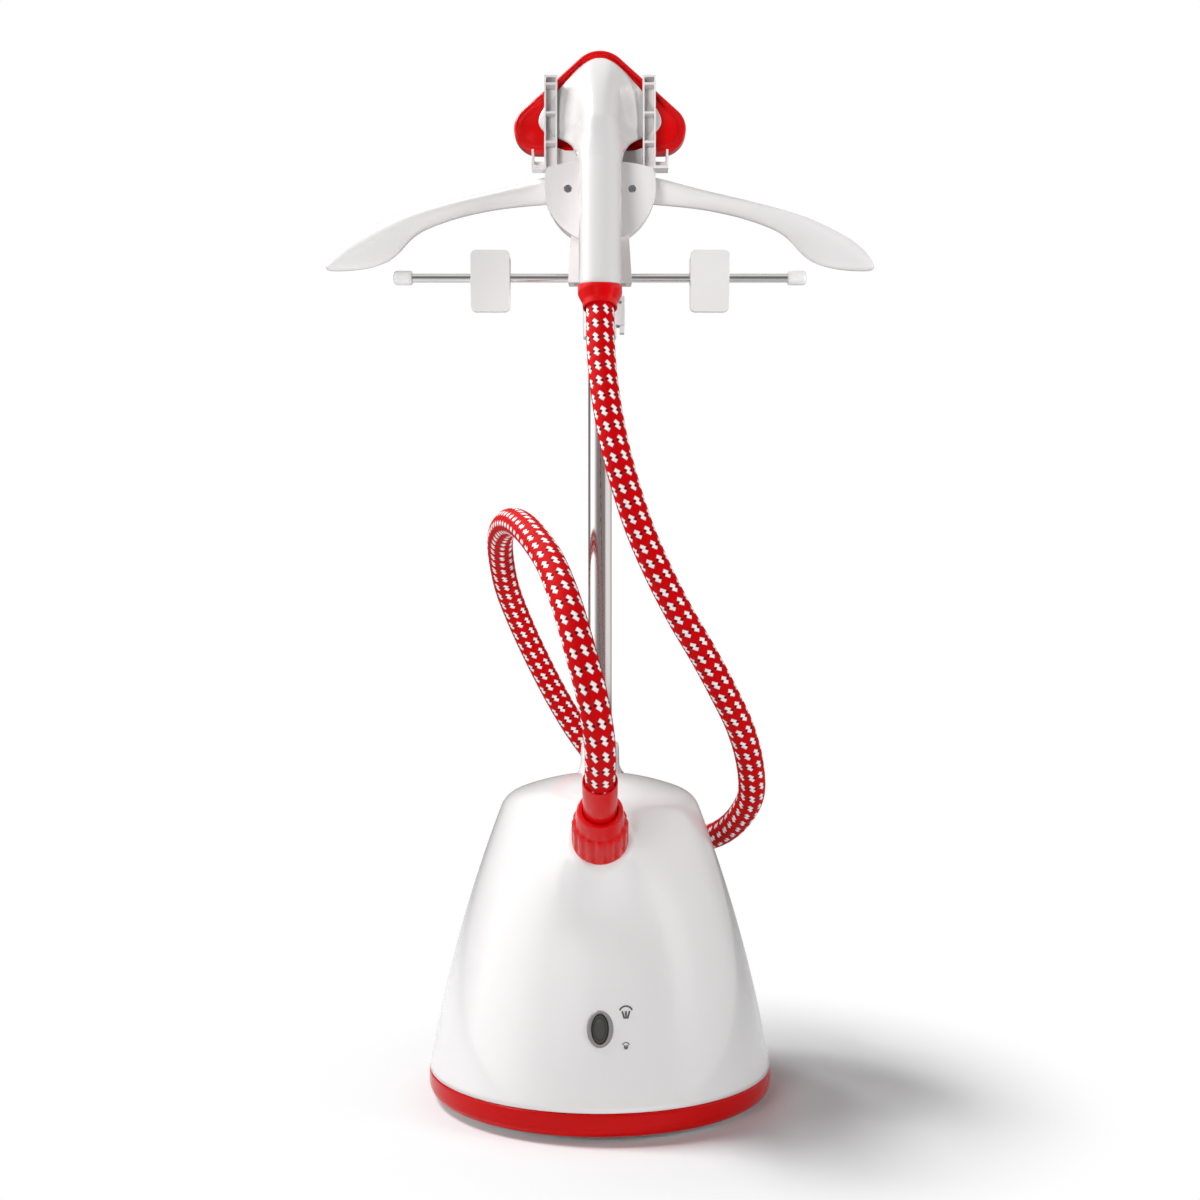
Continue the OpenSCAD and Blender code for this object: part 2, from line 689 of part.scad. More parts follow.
module bracket_body() color("mistyrose") difference() {
    union() {
        upright(cover_back, plate_back) bracket_outline(disc_in_r);
        difference() {
            upright(cover_back, neck_back) neck_outline();
            // Underside of the neck, which rises towards the back
            rotate([90, 0, 90]) linear_extrude(big, center = true) polygon([
                [cover_back, neck_z], [rod_y, neck_z + neck_rise],
                [neck_back + 1, neck_z + neck_rise + 1],
                [neck_back + 1, neck_z - 1], [cover_back, neck_z - 1]
            ]);
        }
        box([-4, cover_back, neck_z + neck_rise], [4, pole_y, bracket_z]);
        at_pole() translate([0, 0, neck_z]) cylinder(h = neck_h + 10, r = slide_r + 4);
        box([-8, 0, bracket_z - 40], [8, pole_y, bracket_z + 10]);
        both_sides() box([screw_x - 1, 0, bracket_z - 11], [46, 17, bracket_z + 15]);
    }
    at_pole() cylinder(h = bracket_z + 7, r = slide_r);
    translate([0, rod_y, rod_z]) along_x(-big, big, rod_r);
    // Hollow of the neck on both sides of the pole
    both_sides()
        box([4, cover_back + 3, neck_z - 1], [neck_half_top - 2.5, neck_back - 2.5, bracket_z - 42]);
    both_sides() tongue(0);
    both_sides() translate([screw_x, 0, cover_screw_z]) along_y(-big, 3, 1.5);
}
module tongue(d)
    box([30, 8 - tongue_t / 2, bracket_z - 8], [disc_in_r + 2, 8 + tongue_t / 2, bracket_z + 12]);

module bracket_cover() color("mistyrose") difference() {
    union() {
        upright(cover_front, cover_back) bracket_outline(bracket_r);
        upright(cover_back - 3, cover_back) neck_outline();
    }
    both_sides() translate([screw_x, 0, cover_screw_z]) {
        along_y(-big, cover_front + 4, 3.6);
        along_y(-big, 0, 1.5);
    }
}

module bracket_screws() color("dimgray") both_sides() translate([screw_x, 0, cover_screw_z]) {
    difference() {
        along_y(cover_front + 1.5, cover_front + 4, 3.4);
        box([-2.2, cover_front, -0.5], [2.2, cover_front + 2.6, 0.5]);
        box([-0.5, cover_front, -2.2], [0.5, cover_front + 2.6, 2.2]);
    }
    along_y(cover_front + 4, 3, 1.5);
}

// Upper and lower edge of a hanger arm, as cubic curves in X and Z
arm_top = [[40, 17], [120, 0], [arm_span - 13.5, -21], [arm_span, -70]];
arm_tip = [[arm_span, -70], [arm_span - 8, -70], [arm_span - 33.5, -70], [arm_span - 41.5, -66]];
arm_low = [[arm_span - 41.5, -66], [arm_span - 81.5, -58], [185, -31], [150, -26]];
arm_root = [[150, -26], [130, -20], [80, -9], [40, -6]];
arm_steps = 10;
function arm_edge(c) = [for (i = [0:arm_steps - 1]) cubic(c, i / arm_steps)];
module arm() {
    difference() {
        upright(arm_y0, arm_y1) translate([0, bracket_z])
            polygon(concat(arm_edge(arm_top), arm_edge(arm_tip), arm_edge(arm_low), arm_edge(arm_root)));
        translate([0, 0, bracket_z]) along_y(-big, big, disc_in_r);
        box([0, -big, bracket_z - 30], [disc_in_r - 3, big, bracket_z + 30]);
    }
    tongue(0);
}
module right_arm() color("white") arm();
module left_arm() color("white") mirror([1, 0, 0]) arm();

// ---- Cradle of the steam head ----
post_wall = 1.6;
rib_t = 2;
saddle_r = 110;
saddle_up = 145;
saddle_z = bracket_z + saddle_up;
foot_out = 62.3;
foot_z = bracket_z + 19.8;
foot_t = 2.6;
module cradle_post() difference() {
    box([post_in, post_y0, post_z0], [post_out, post_y1, post_top]);
    for (i = [0:len(post_ribs)]) let (
        z0 = i == 0 ? post_z0 - 1 : bracket_z + post_ribs[i - 1] + rib_t,
        z1 = i == len(post_ribs) ? post_top - rib_t : bracket_z + post_ribs[i])
        box([post_in + post_wall, post_y0 - 1, z0], [post_out - post_wall, post_y1 - 2, z1]);
}
module head_cradle() color("whitesmoke") {
    both_sides() {
        cradle_post();
        box([post_out - 2, post_y0, foot_z], [foot_out, post_y1, foot_z + foot_t]);
        box([foot_out - 2, post_y0, foot_z], [foot_out, post_y1, foot_z + 17.4]);
        box([post_out - 2, post_y1 - 2, foot_z], [foot_out, post_y1, foot_z + 10]);
    }
    difference() {
        box([-post_out, plate_back, bracket_z + 16], [post_out, post_y1, bracket_z + 42]);
        translate([0, 0, saddle_z]) along_y(-big, big, saddle_r);
    }
    box([-post_out, post_y1, rim_z - gap - 3], [post_out, rim_y + rim_t - 2, rim_z - gap]);
}

// ---- Trouser bar and clips ----
cap_r_out = 6.5;
cap_len = 17;
cap_grip = 10.5;
module trouser_bar() color("silver") translate([0, rod_y, rod_z]) along_x(-rod_half, rod_half, rod_r);

module bar_caps() color("white", 0.8) translate([0, rod_y, rod_z]) both_sides()
    translate([rod_half - cap_grip, 0, 0]) rotate([0, 90, 0]) rotate_extrude() polygon([
        [rod_r, 0], [cap_r_out - 1, 0], [cap_r_out, 1], [cap_r_out, cap_len - 3],
        [cap_r_out - 1, cap_len - 1], [cap_r_out - 3, cap_len], [0, cap_len],
        [0, cap_grip], [rod_r, cap_grip]
    ]);

// One jaw of a clip, seen along the bar: flat above the bar, slanting in to the other below
module jaw_outline() polygon([
    [-fold_y - 1.5, clip_up], [-fold_y, 0], [-gap / 2 - jaw_t, -clip_down],
    [-gap / 2, -clip_down], [-fold_y + jaw_t, 0], [-fold_y - 1.5 + jaw_t, clip_up]
]);
module jaw() {
    corner = 5;
    intersection() {
        translate([-clip_w / 2, 0, 0]) rotate([90, 0, 90])
            linear_extrude(clip_w) jaw_outline();
        upright(-big / 10, big / 10) union() {
            translate([-clip_w / 2 + corner, -clip_down]) square([clip_w - 2 * corner, clip_up + clip_down]);
            translate([-clip_w / 2, corner - clip_down])
                square([clip_w, clip_up + clip_down - 2 * corner]);
            for (sx = [-1, 1]) for (z = [corner - clip_down, clip_up - corner])
                translate([sx * (clip_w / 2 - corner), z]) circle(corner);
        }
    }
}
// A knuckle around the bar, with a web out to its jaw at the front
module knuckle(x0, x1) {
    along_x(x0, x1, hub_r);
    box([x0, -fold_y + jaw_t / 2, -4], [x1, 0, 4]);
}
module at_clip(s) translate([s * clip_x, rod_y, rod_z]) children();
module clip_front() difference() {
    union() {
        jaw();
        both_sides() knuckle(knuckle_w + gap, 2 * knuckle_w);
    }
    along_x(-big, big, rod_r + run);
}
module clip_back() difference() {
    mirror([0, 1, 0]) {
        jaw();
        knuckle(-knuckle_w, knuckle_w);
    }
    along_x(-big, big, rod_r + run);
}
module clip_spring() for (x = [2.2, 3.4, 4.6]) both_sides()
    translate([2 * knuckle_w + x - 1.4, 0, 0]) rotate([0, 90, 0]) torus(5.2, 0.55);

module left_clip_back() color("white") at_clip(-1) clip_back();
module left_clip_front() color("white") at_clip(-1) clip_front();
module left_clip_spring() color("silver") at_clip(-1) clip_spring();
module right_clip_back() color("white") at_clip(1) clip_back();
module right_clip_front() color("white") at_clip(1) clip_front();
module right_clip_spring() color("silver") at_clip(1) clip_spring();

// ---- Steam head ----
// Rounded triangle of the red rim, drawn inwards by d
module rim_outline(d) polygon(concat(
    arc([0, rim_z + rim_h - rim_top_r], rim_top_r - d, 45, 135, 12),
    arc([-rim_low_x, rim_z + rim_low_r], rim_low_r - d, 135, 270, 12),
    arc([rim_low_x, rim_z + rim_low_r], rim_low_r - d, 270, 405, 12)
));
hood_t = 2.5;
ridge_y = rim_y - hood_t + 0.2;
lobe_x = 46;
lobe_r = 12;
lobe_up = 25;
lobe_z = rim_z + lobe_up;
crest_r = 19;
crest_up = 86;
crest_z = rim_z + crest_up - crest_r;
root_x = 19;
root_up = 24;
root_r = 17;
// Flat flanks of the hood, which carry the rim
module hood_outline() polygon(concat(
    arc([0, crest_z], crest_r, 52, 128, 8),
    arc([-lobe_x, lobe_z], lobe_r, 128, 270, 10),
    arc([lobe_x, lobe_z], lobe_r, 270, 412, 10)
));
// Ridge that runs from the handle up over the middle of the hood, its foot let into the flanks
module ridge(d) hull() {
    on_handle() translate([0, 0, handle_len]) sphere(r = handle_r - d, $fn = 32);
    translate([0, 0, crest_z]) along_y(ridge_y, rim_y - 0.5, crest_r - 2 - d, $fn = 32);
    both_sides() translate([root_x, 0, rim_z + root_up])
        along_y(ridge_y, rim_y - 0.5, root_r - d, $fn = 32);
}
module above_end() rotate([end_lean, 0, 0]) box([-big, -big, 0], [big, big, big]);
module handle_bar(r) on_handle() difference() {
    translate([0, 0, -handle_r / 2]) cylinder(h = handle_len + handle_r / 2, r = r);
    mirror([0, 0, 1]) rotate([-end_lean, 0, 0]) box([-big, -big, 0], [big, big, big]);
}
// Everything in front of the plane through the axis of the handle
module handle_front() on_handle() box([-big, -big, -big], [big, 0, big]);
module duct(r) {
    on_handle() translate([0, 0, 8]) cylinder(h = duct_turn - 8, r = r);
    translate([0, 0, duct_z]) along_y(duct_y, rim_y + 4, r);
}
duct_y = handle_y + duct_turn * sin(handle_tilt);
duct_z = handle_z + duct_turn * cos(handle_tilt);

module head_shell() color("white") difference() {
    union() {
        upright(rim_y - hood_t, rim_y) hood_outline();
        ridge(0);
        intersection() {
            handle_bar(handle_r);
            handle_front();
        }
    }
    ridge(head_wall);
    handle_bar(handle_r - head_wall);
    translate([0, 0, duct_z]) along_y(0, big, duct_r);
}

module handle_back() color("white") difference() {
    handle_bar(handle_r);
    handle_bar(handle_r - head_wall);
    handle_front();
    ridge(0);
}

module red_rim() color("red") difference() {
    upright(rim_y, rim_y + rim_t) rim_outline(0);
    upright(rim_y + 3, rim_y + big) rim_outline(6);
    upright(rim_y + rim_t - 5.5, rim_y + big) rim_outline(3);
    translate([0, 0, duct_z]) along_y(0, big, duct_r);
    head_screw_places() along_y(0, rim_y + 4, 1.5);
}

module plate_gasket() color("dimgray") difference() {
    upright(rim_y + rim_t - 5.5, rim_y + rim_t - 4) rim_outline(3);
    upright(0, big) rim_outline(6.5);
}

module steam_plate() color("silver") difference() {
    upright(rim_y + rim_t - 4, rim_y + rim_t + 1) rim_outline(3);
    for (row = [0:3]) for (i = [-2 - row:2 + row]) if (abs(i) % 2 == row % 2)
        translate([i * 9, 0, rim_z + 78 - row * 17]) along_y(0, big, 1.6, $fn = 16);
}

module steam_duct() color("lightgray") difference() {
    union() {
        duct(duct_r);
        translate([0, duct_y, duct_z]) along_x(-duct_r - 2, duct_r + 2, duct_r + 2);
    }
    on_handle() cylinder(h = duct_turn + 2, r = duct_r - 1.5);
    translate([0, 0, duct_z]) along_y(duct_y - 1, big, duct_r - 1.8);
}

module hose_collar() color("red") on_handle() difference() {
    union() {
        difference() {
            rotate_extrude() polygon([
                [0, -hose_collar_h], [cuff_r + 0.8, -hose_collar_h],
                [cuff_r + 0.8, 5 - hose_collar_h], [handle_r + 0.7, 14 - hose_collar_h],
                [handle_r + 0.7, handle_r / 2], [0, handle_r / 2]
            ]);
            above_end();
        }
        translate([0, 0, -hose_collar_h / 2]) cylinder(h = hose_collar_h, r = handle_r - head_wall);
    }
    translate([0, 0, -hose_collar_h - 1]) cylinder(h = hose_collar_h, r = cuff_bore_r);
    translate([0, 0, -2]) cylinder(h = big, r = duct_r + 2);
}

module hose_ferrule() color("gainsboro") on_handle() translate([0, 0, -2]) difference() {
    cylinder(h = 18, r = duct_r + 2);
    translate([0, 0, -1]) cylinder(h = 11, r = duct_r - 1.5);
    translate([0, 0, 10]) cylinder(h = 20, r = duct_r);
}

module head_screw_places() {
    both_sides() translate([lobe_x, 0, lobe_z]) children();
    translate([0, 0, crest_z + 8]) children();
}
module head_screws() color("silver") head_screw_places() {
    along_y(rim_y, rim_y + 3, 1.5);
    along_y(rim_y + 3, rim_y + 5, 3);
}

// ---- What is drawn ----
rubber_feet();
bottom_plate();
red_skirt();
front_shell();
base_screws();
boiler_casting();
boiler_gasket();
boiler_cover();
heating_element();
thermostat();
thermal_fuse();
feed_tube();
steam_pipe();
valve_seat();
mains_gland();
switch_bezel();
switch_body();
switch_rocker();
water_tank();
tank_cap();
cap_seal();
valve_plunger();
valve_spring();
valve_retainer();
pole_socket();
pole_collar();
fixed_tube();
sliding_tube();
slide_bush();
lock_collar();
lock_pin();
lock_lever();
hose_spigot();
spigot_seal();
hose_nut();
hose_cuff();
steam_hose();
bracket_body();
bracket_cover();
bracket_screws();
left_arm();
right_arm();
head_cradle();
trouser_bar();
bar_caps();
left_clip_back();
left_clip_front();
left_clip_spring();
right_clip_back();
right_clip_front();
right_clip_spring();
head_shell();
handle_back();
red_rim();
plate_gasket();
steam_plate();
steam_duct();
hose_collar();
hose_ferrule();
head_screws();
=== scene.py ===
import bpy, bmesh, json
from math import sin, cos, tan, pi, radians, atan2, sqrt, exp
from mathutils import Matrix, Vector


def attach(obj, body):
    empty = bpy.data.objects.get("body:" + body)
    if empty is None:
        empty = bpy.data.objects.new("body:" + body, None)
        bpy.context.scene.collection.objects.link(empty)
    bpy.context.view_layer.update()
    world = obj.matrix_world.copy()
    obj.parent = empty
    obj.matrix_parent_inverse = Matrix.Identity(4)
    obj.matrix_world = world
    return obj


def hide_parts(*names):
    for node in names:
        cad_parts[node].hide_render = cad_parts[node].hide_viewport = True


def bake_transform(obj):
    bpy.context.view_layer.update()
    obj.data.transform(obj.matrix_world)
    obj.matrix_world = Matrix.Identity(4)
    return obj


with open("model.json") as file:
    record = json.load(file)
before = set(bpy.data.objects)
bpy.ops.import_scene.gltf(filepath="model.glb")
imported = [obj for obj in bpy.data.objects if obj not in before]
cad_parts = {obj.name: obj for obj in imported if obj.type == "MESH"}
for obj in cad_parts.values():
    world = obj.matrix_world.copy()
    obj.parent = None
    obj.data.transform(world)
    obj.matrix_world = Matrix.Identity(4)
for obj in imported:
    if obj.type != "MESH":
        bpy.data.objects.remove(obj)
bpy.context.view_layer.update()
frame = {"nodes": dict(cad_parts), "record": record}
scene = bpy.context.scene

# ---- Studio: camera, lamps and floor ----
# A level camera in front of the steamer, a little under half its height. One strong soft box
# stands high on the left, weaker ones in front, on the right and behind, and the floor and the
# room are plain and pale.
lens = bpy.data.cameras.new("studio_camera")
lens.lens = 43.2
lens.sensor_width = 36
lens.shift_y = 0.039
camera = bpy.data.objects.new("studio_camera", lens)
camera.location = (0, -1.32, 0.405)
camera.rotation_euler = (pi / 2, 0, 0)
scene.collection.objects.link(camera)
scene.camera = camera
scene.view_settings.view_transform = "Standard"

def soft_box(name, place, aim, size, power):
    lamp = bpy.data.lights.new(name, "AREA")
    lamp.shape = "RECTANGLE"
    lamp.size, lamp.size_y = size
    lamp.energy = power
    obj = bpy.data.objects.new(name, lamp)
    obj.location = place
    obj.rotation_euler = (Vector(aim) - Vector(place)).to_track_quat("-Z", "Y").to_euler()
    scene.collection.objects.link(obj)
    return obj

soft_box("key_box", (-1.20, 0.15, 2.05), (0, 0, 0.25), (0.75, 0.75), 47)
weaker_boxes = (("front_box", (-0.8, -2.0, 0.8), 0.85, (0.8, 0.8), 5.2),
                ("right_box", (1.8, -0.8, 0.8), 0.75, (0.7, 0.8), 4.8),
                ("back_box", (0.2, 2.0, 1.2), 0.80, (1.4, 0.9), 1.2))
for name, place, aim_z, size, power in weaker_boxes:
    weaker_box = soft_box(name, place, (0, 0, aim_z), size, power)
    weaker_box.data.spread = radians(80)
    weaker_box.visible_glossy = False

def link(tree, a, b):
    tree.links.new(a, b)

world = bpy.data.worlds.new("pale_room")
scene.world = world
world.use_nodes = True
room = world.node_tree
room.nodes.clear()
room_out = room.nodes.new("ShaderNodeOutputWorld")
room_path = room.nodes.new("ShaderNodeLightPath")
room_light = room.nodes.new("ShaderNodeBackground")
room_light.inputs["Color"].default_value = (1.0, 0.99, 0.99, 1)
room_light.inputs["Strength"].default_value = 0.07
# What shiny plastic and metal mirror: tall white cards to the left and right of a dim room with
# a pale ceiling
room_way = room.nodes.new("ShaderNodeTexCoord")
room_xyz = room.nodes.new("ShaderNodeSeparateXYZ")
link(room, room_way.outputs["Generated"], room_xyz.inputs[0])
room_turn = room.nodes.new("ShaderNodeMath")
room_turn.operation = "ARCTAN2"
link(room, room_xyz.outputs["X"], room_turn.inputs[0])
room_front = room.nodes.new("ShaderNodeMath")
room_front.operation = "MULTIPLY"
room_front.inputs[1].default_value = -1
link(room, room_xyz.outputs["Y"], room_front.inputs[0])
link(room, room_front.outputs[0], room_turn.inputs[1])
room_round = room.nodes.new("ShaderNodeMapRange")
room_round.inputs["From Min"].default_value = -pi
room_round.inputs["From Max"].default_value = pi
link(room, room_turn.outputs[0], room_round.inputs["Value"])
room_cards = room.nodes.new("ShaderNodeValToRGB")
# Degrees from the front towards the right, and how bright the room is there
card_levels = [(-180, 0.30), (-150, 0.08), (-124, 0.22), (-108, 0.75), (-98, 1.7), (-64, 1.7),
               (-54, 1.15), (-42, 0.62), (-32, 0.36), (-22, 0.25), (40, 0.25), (48, 0.30),
               (58, 0.85), (70, 1.05), (112, 1.0), (132, 0.6), (180, 0.30)]
card_tint = (1, 0.965, 0.955)
ramp = room_cards.color_ramp
for _ in range(len(card_levels) - 2):
    ramp.elements.new(0.5)
for stop, (turn, level) in zip(ramp.elements, card_levels):
    stop.position = (turn + 180) / 360
    stop.color = [level * c for c in card_tint] + [1]
link(room, room_round.outputs[0], room_cards.inputs[0])
room_over = room.nodes.new("ShaderNodeMapRange")
room_over.inputs["From Min"].default_value = 0.40
room_over.inputs["From Max"].default_value = 0.75
link(room, room_xyz.outputs["Z"], room_over.inputs["Value"])
room_ceiling = room.nodes.new("ShaderNodeMix")
room_ceiling.data_type = "RGBA"
room_ceiling.inputs["B"].default_value = (0.92, 0.90, 0.90, 1)
link(room, room_over.outputs[0], room_ceiling.inputs["Factor"])
link(room, room_cards.outputs[0], room_ceiling.inputs["A"])
room_mirrored = room.nodes.new("ShaderNodeBackground")
link(room, room_ceiling.outputs["Result"], room_mirrored.inputs["Color"])
room_seen = room.nodes.new("ShaderNodeBackground")
room_seen.inputs["Color"].default_value = (1, 1, 1, 1)
room_gloss = room.nodes.new("ShaderNodeMixShader")
link(room, room_path.outputs["Is Glossy Ray"], room_gloss.inputs[0])
link(room, room_light.outputs[0], room_gloss.inputs[1])
link(room, room_mirrored.outputs[0], room_gloss.inputs[2])
room_mix = room.nodes.new("ShaderNodeMixShader")
link(room, room_path.outputs["Is Camera Ray"], room_mix.inputs[0])
link(room, room_gloss.outputs[0], room_mix.inputs[1])
link(room, room_seen.outputs[0], room_mix.inputs[2])
link(room, room_mix.outputs[0], room_out.inputs[0])

floor_mesh = bpy.data.meshes.new("floor")
bm = bmesh.new()
bmesh.ops.create_circle(bm, cap_ends=True, segments=96, radius=9)
bm.to_mesh(floor_mesh)
bm.free()
floor_obj = bpy.data.objects.new("floor", floor_mesh)
scene.collection.objects.link(floor_obj)
pale = bpy.data.materials.new("pale_floor")
pale.use_nodes = True
tree = pale.node_tree
tree.nodes.clear()
floor_out = tree.nodes.new("ShaderNodeOutputMaterial")
floor_lit = tree.nodes.new("ShaderNodeBsdfDiffuse")
floor_lit.inputs["Color"].default_value = (0.86, 0.866, 0.875, 1)
floor_path = tree.nodes.new("ShaderNodeLightPath")
# Further out the floor turns into the pale room, so that no horizon shows
floor_place = tree.nodes.new("ShaderNodeTexCoord")
floor_shift = tree.nodes.new("ShaderNodeMapping")
floor_shift.inputs["Location"].default_value = (-0.09, -0.02, 0)
link(tree, floor_place.outputs["Object"], floor_shift.inputs["Vector"])
floor_reach = tree.nodes.new("ShaderNodeVectorMath")
floor_reach.operation = "LENGTH"
link(tree, floor_shift.outputs[0], floor_reach.inputs[0])
floor_fade = tree.nodes.new("ShaderNodeMapRange")
floor_fade.interpolation_type = "SMOOTHSTEP"
floor_fade.inputs["From Min"].default_value = 0.17
floor_fade.inputs["From Max"].default_value = 0.38
link(tree, floor_reach.outputs["Value"], floor_fade.inputs["Value"])
floor_far = tree.nodes.new("ShaderNodeMath")
floor_far.operation = "MULTIPLY"
link(tree, floor_fade.outputs[0], floor_far.inputs[0])
link(tree, floor_path.outputs["Is Camera Ray"], floor_far.inputs[1])
floor_white = tree.nodes.new("ShaderNodeEmission")
floor_white.inputs["Color"].default_value = (1, 1, 1, 1)
floor_mix = tree.nodes.new("ShaderNodeMixShader")
link(tree, floor_far.outputs[0], floor_mix.inputs[0])
link(tree, floor_lit.outputs[0], floor_mix.inputs[1])
link(tree, floor_white.outputs[0], floor_mix.inputs[2])
link(tree, floor_mix.outputs[0], floor_out.inputs[0])
floor_mesh.materials.append(pale)

# ---- Steam hose ----
# A silicone hose in a braided sleeve of red and white polyester, 25 mm across. It leaves the
# cuff on the base, loops to the left and round behind the pole, and ends in the handle's collar.
hose_route = [Vector(p) / 1000 for p in (
    (0, -161, 283), (0, -180, 299), (0, -203, 328), (-5.5, -216, 364), (-15.5, -214, 403),
    (-26.5, -199, 440), (-39, -172, 471), (-53, -137, 493), (-65, -97, 507), (-76, -53, 515),
    (-86, -8, 516), (-94, 38, 508), (-96, 80, 490), (-92, 115, 462), (-80, 141, 428),
    (-63.5, 156, 391), (-43.5, 162, 352), (-21.5, 162, 316), (4, 157, 283), (29, 149, 251),
    (53, 137, 228), (78, 118, 216), (103, 92, 218), (120.5, 61, 230), (132.6, 28, 249),
    (138.5, -2, 272), (134, -28, 303), (123, -51, 335), (107, -69, 366), (89, -82, 398),
    (69, -92, 431), (50.5, -99, 466), (34.5, -103, 502), (22, -105, 539), (12, -104, 577),
    (5, -99, 616), (1, -89, 656), (0, -78, 699))]
hose_radius = 0.0123
sleeve_columns = 8      # repeats of the braid round the hose
sleeve_sides = 56
weave_foot, weave_rise = 0.0004, 0.0006     # depth below the mean skin, and relief above it
tile = 0.0131           # length of one repeat of the braid along the hose
rings_per_tile, rings_per_path_point = 12, 3
# One repeat of the braid in millimetres. Each white mark is two short strands, side by side and
# a step apart, that slant down to the right, and red strands fill the room round them.
repeat_wide, repeat_long = 9.66, 13.1
slant_cos, slant_sin = 0.731, 0.682
strand_half_long, strand_half_wide, strand_crown = 2.6, 1.65, 1.2
step_long, step_wide = 1.41, 1.22
red_wide, red_long = 2.43, 2.82

def through(points, steps):
    """A smooth line through the points, in short even steps."""
    ends = [2 * points[0] - points[1]] + list(points) + [2 * points[-1] - points[-2]]
    line = []
    for i in range(1, len(ends) - 2):
        a, b, c, d = ends[i - 1:i + 3]
        for k in range(steps):
            t = k / steps
            line.append(0.5 * ((2 * b) + (c - a) * t + (2 * a - 5 * b + 4 * c - d) * t * t
                               + (3 * b - a - 3 * c + d) * t * t * t))
    line.append(points[-1])
    return line

def evenly(line, step):
    """The same line in even steps, and its length."""
    total = sum((b - a).length for a, b in zip(line, line[1:]))
    count = round(total / step)
    even, i, gone = [], 0, 0.0
    for n in range(count + 1):
        want = total * n / count
        while i < len(line) - 2 and gone + (line[i + 1] - line[i]).length < want:
            gone += (line[i + 1] - line[i]).length
            i += 1
        leg = line[i + 1] - line[i]
        even.append(line[i] + leg * ((want - gone) / leg.length))
    return even, total

hose_line, hose_length = evenly(through(hose_route, 40), tile / rings_per_tile)

def sleeve_height(x, y):
    """Relief of the braid: 1 on the crown of a strand, 0 between strands."""
    across, along = (x % 1 - 0.5) * repeat_wide, (y % 1 - 0.5) * repeat_long
    down = across * slant_cos - along * slant_sin
    up = across * slant_sin + along * slant_cos
    white = max(min(strand_half_long - abs(down + s * step_long),
                    strand_half_wide - abs(up - s * step_wide)) for s in (-1, 1))
    if white > 0:
        return 0.35 + 0.65 * min(1, white / strand_crown)
    return min(0.7, -white / strand_crown) * (0.75 + 0.25 * abs(sin(up * pi / red_wide)))

hose_frames = []
turned = Vector((1, 0, 0))
for n, place in enumerate(hose_line):
    ahead = (hose_line[min(n + 1, len(hose_line) - 1)] - hose_line[max(n - 1, 0)]).normalized()
    turned = (turned - ahead * turned.dot(ahead)).normalized()
    hose_frames.append((place, turned.copy(), ahead.cross(turned)))

def placed(name, bm):
    """Puts a finished mesh into the scene."""
    mesh = bpy.data.meshes.new(name)
    bm.to_mesh(mesh)
    bm.free()
    obj = bpy.data.objects.new(name, mesh)
    scene.collection.objects.link(obj)
    return obj

def braided_tube(name, first, last):
    """A stretch of the sleeve, from one point of the line to another: a grid rolled up round it."""
    bm = bmesh.new()
    uv = bm.loops.layers.uv.new("sleeve")
    rings = last - first
    bmesh.ops.create_grid(bm, x_segments=sleeve_sides, y_segments=rings, size=0.5)
    spot = {v: (round((v.co.x + 0.5) * sleeve_sides), first + round((v.co.y + 0.5) * rings))
            for v in bm.verts}
    for face in bm.faces:
        for l in face.loops:
            k, n = spot[l.vert]
            l[uv].uv = (k / sleeve_sides, n / (len(hose_line) - 1))
        face.smooth = True
    for v, (k, n) in spot.items():
        centre, side, other = hose_frames[n]
        a = 2 * pi * k / sleeve_sides
        y = n * hose_length / (len(hose_line) - 1) / tile
        height = sleeve_height(k / sleeve_sides * sleeve_columns, y)
        r = hose_radius - weave_foot + weave_rise * height
        v.co = centre + r * (side * cos(a) + other * sin(a))
    bmesh.ops.remove_doubles(bm, verts=bm.verts, dist=0.00001)
    bmesh.ops.recalc_face_normals(bm, faces=bm.faces)
    return placed(name, bm)

# The hose is in two lengths: one passes from the base to the upper tube, one on to the head
split_place = Vector((0.022, -0.105, 0.539))
split = min(range(len(hose_line)), key=lambda i: (hose_line[i] - split_place).length)
hose_lower = braided_tube("hose_lower", 0, split)
hose_upper = braided_tube("hose_upper", split, len(hose_line) - 1)

braid = bpy.data.materials.new("red_white_braid")
braid.use_nodes = True
tree = braid.node_tree
sleeve_uv = tree.nodes.new("ShaderNodeUVMap")
sleeve_uv.uv_map = "sleeve"
sleeve_xy = tree.nodes.new("ShaderNodeSeparateXYZ")
link(tree, sleeve_uv.outputs[0], sleeve_xy.inputs[0])

def reckon(operation, a, b=0.0):
    """One step of arithmetic in the braid's material."""
    node = tree.nodes.new("ShaderNodeMath")
    node.operation = operation
    for socket, value in zip(node.inputs, (a, b)):
        if isinstance(value, bpy.types.NodeSocket):
            link(tree, value, socket)
        else:
            socket.default_value = value
    return node.outputs[0]

def plus(a, b):
    return reckon("ADD", a, b)

def minus(a, b):
    return reckon("SUBTRACT", a, b)

def times(a, b):
    return reckon("MULTIPLY", a, b)

def between(tree, value, low, high, start=0.0, end=1.0):
    """A smooth step of a value between two levels."""
    node = tree.nodes.new("ShaderNodeMapRange")
    node.interpolation_type = "SMOOTHSTEP"
    link(tree, value, node.inputs[0])
    for i, v in zip((1, 2, 3, 4), (low, high, start, end)):
        node.inputs[i].default_value = v
    return node.outputs[0]

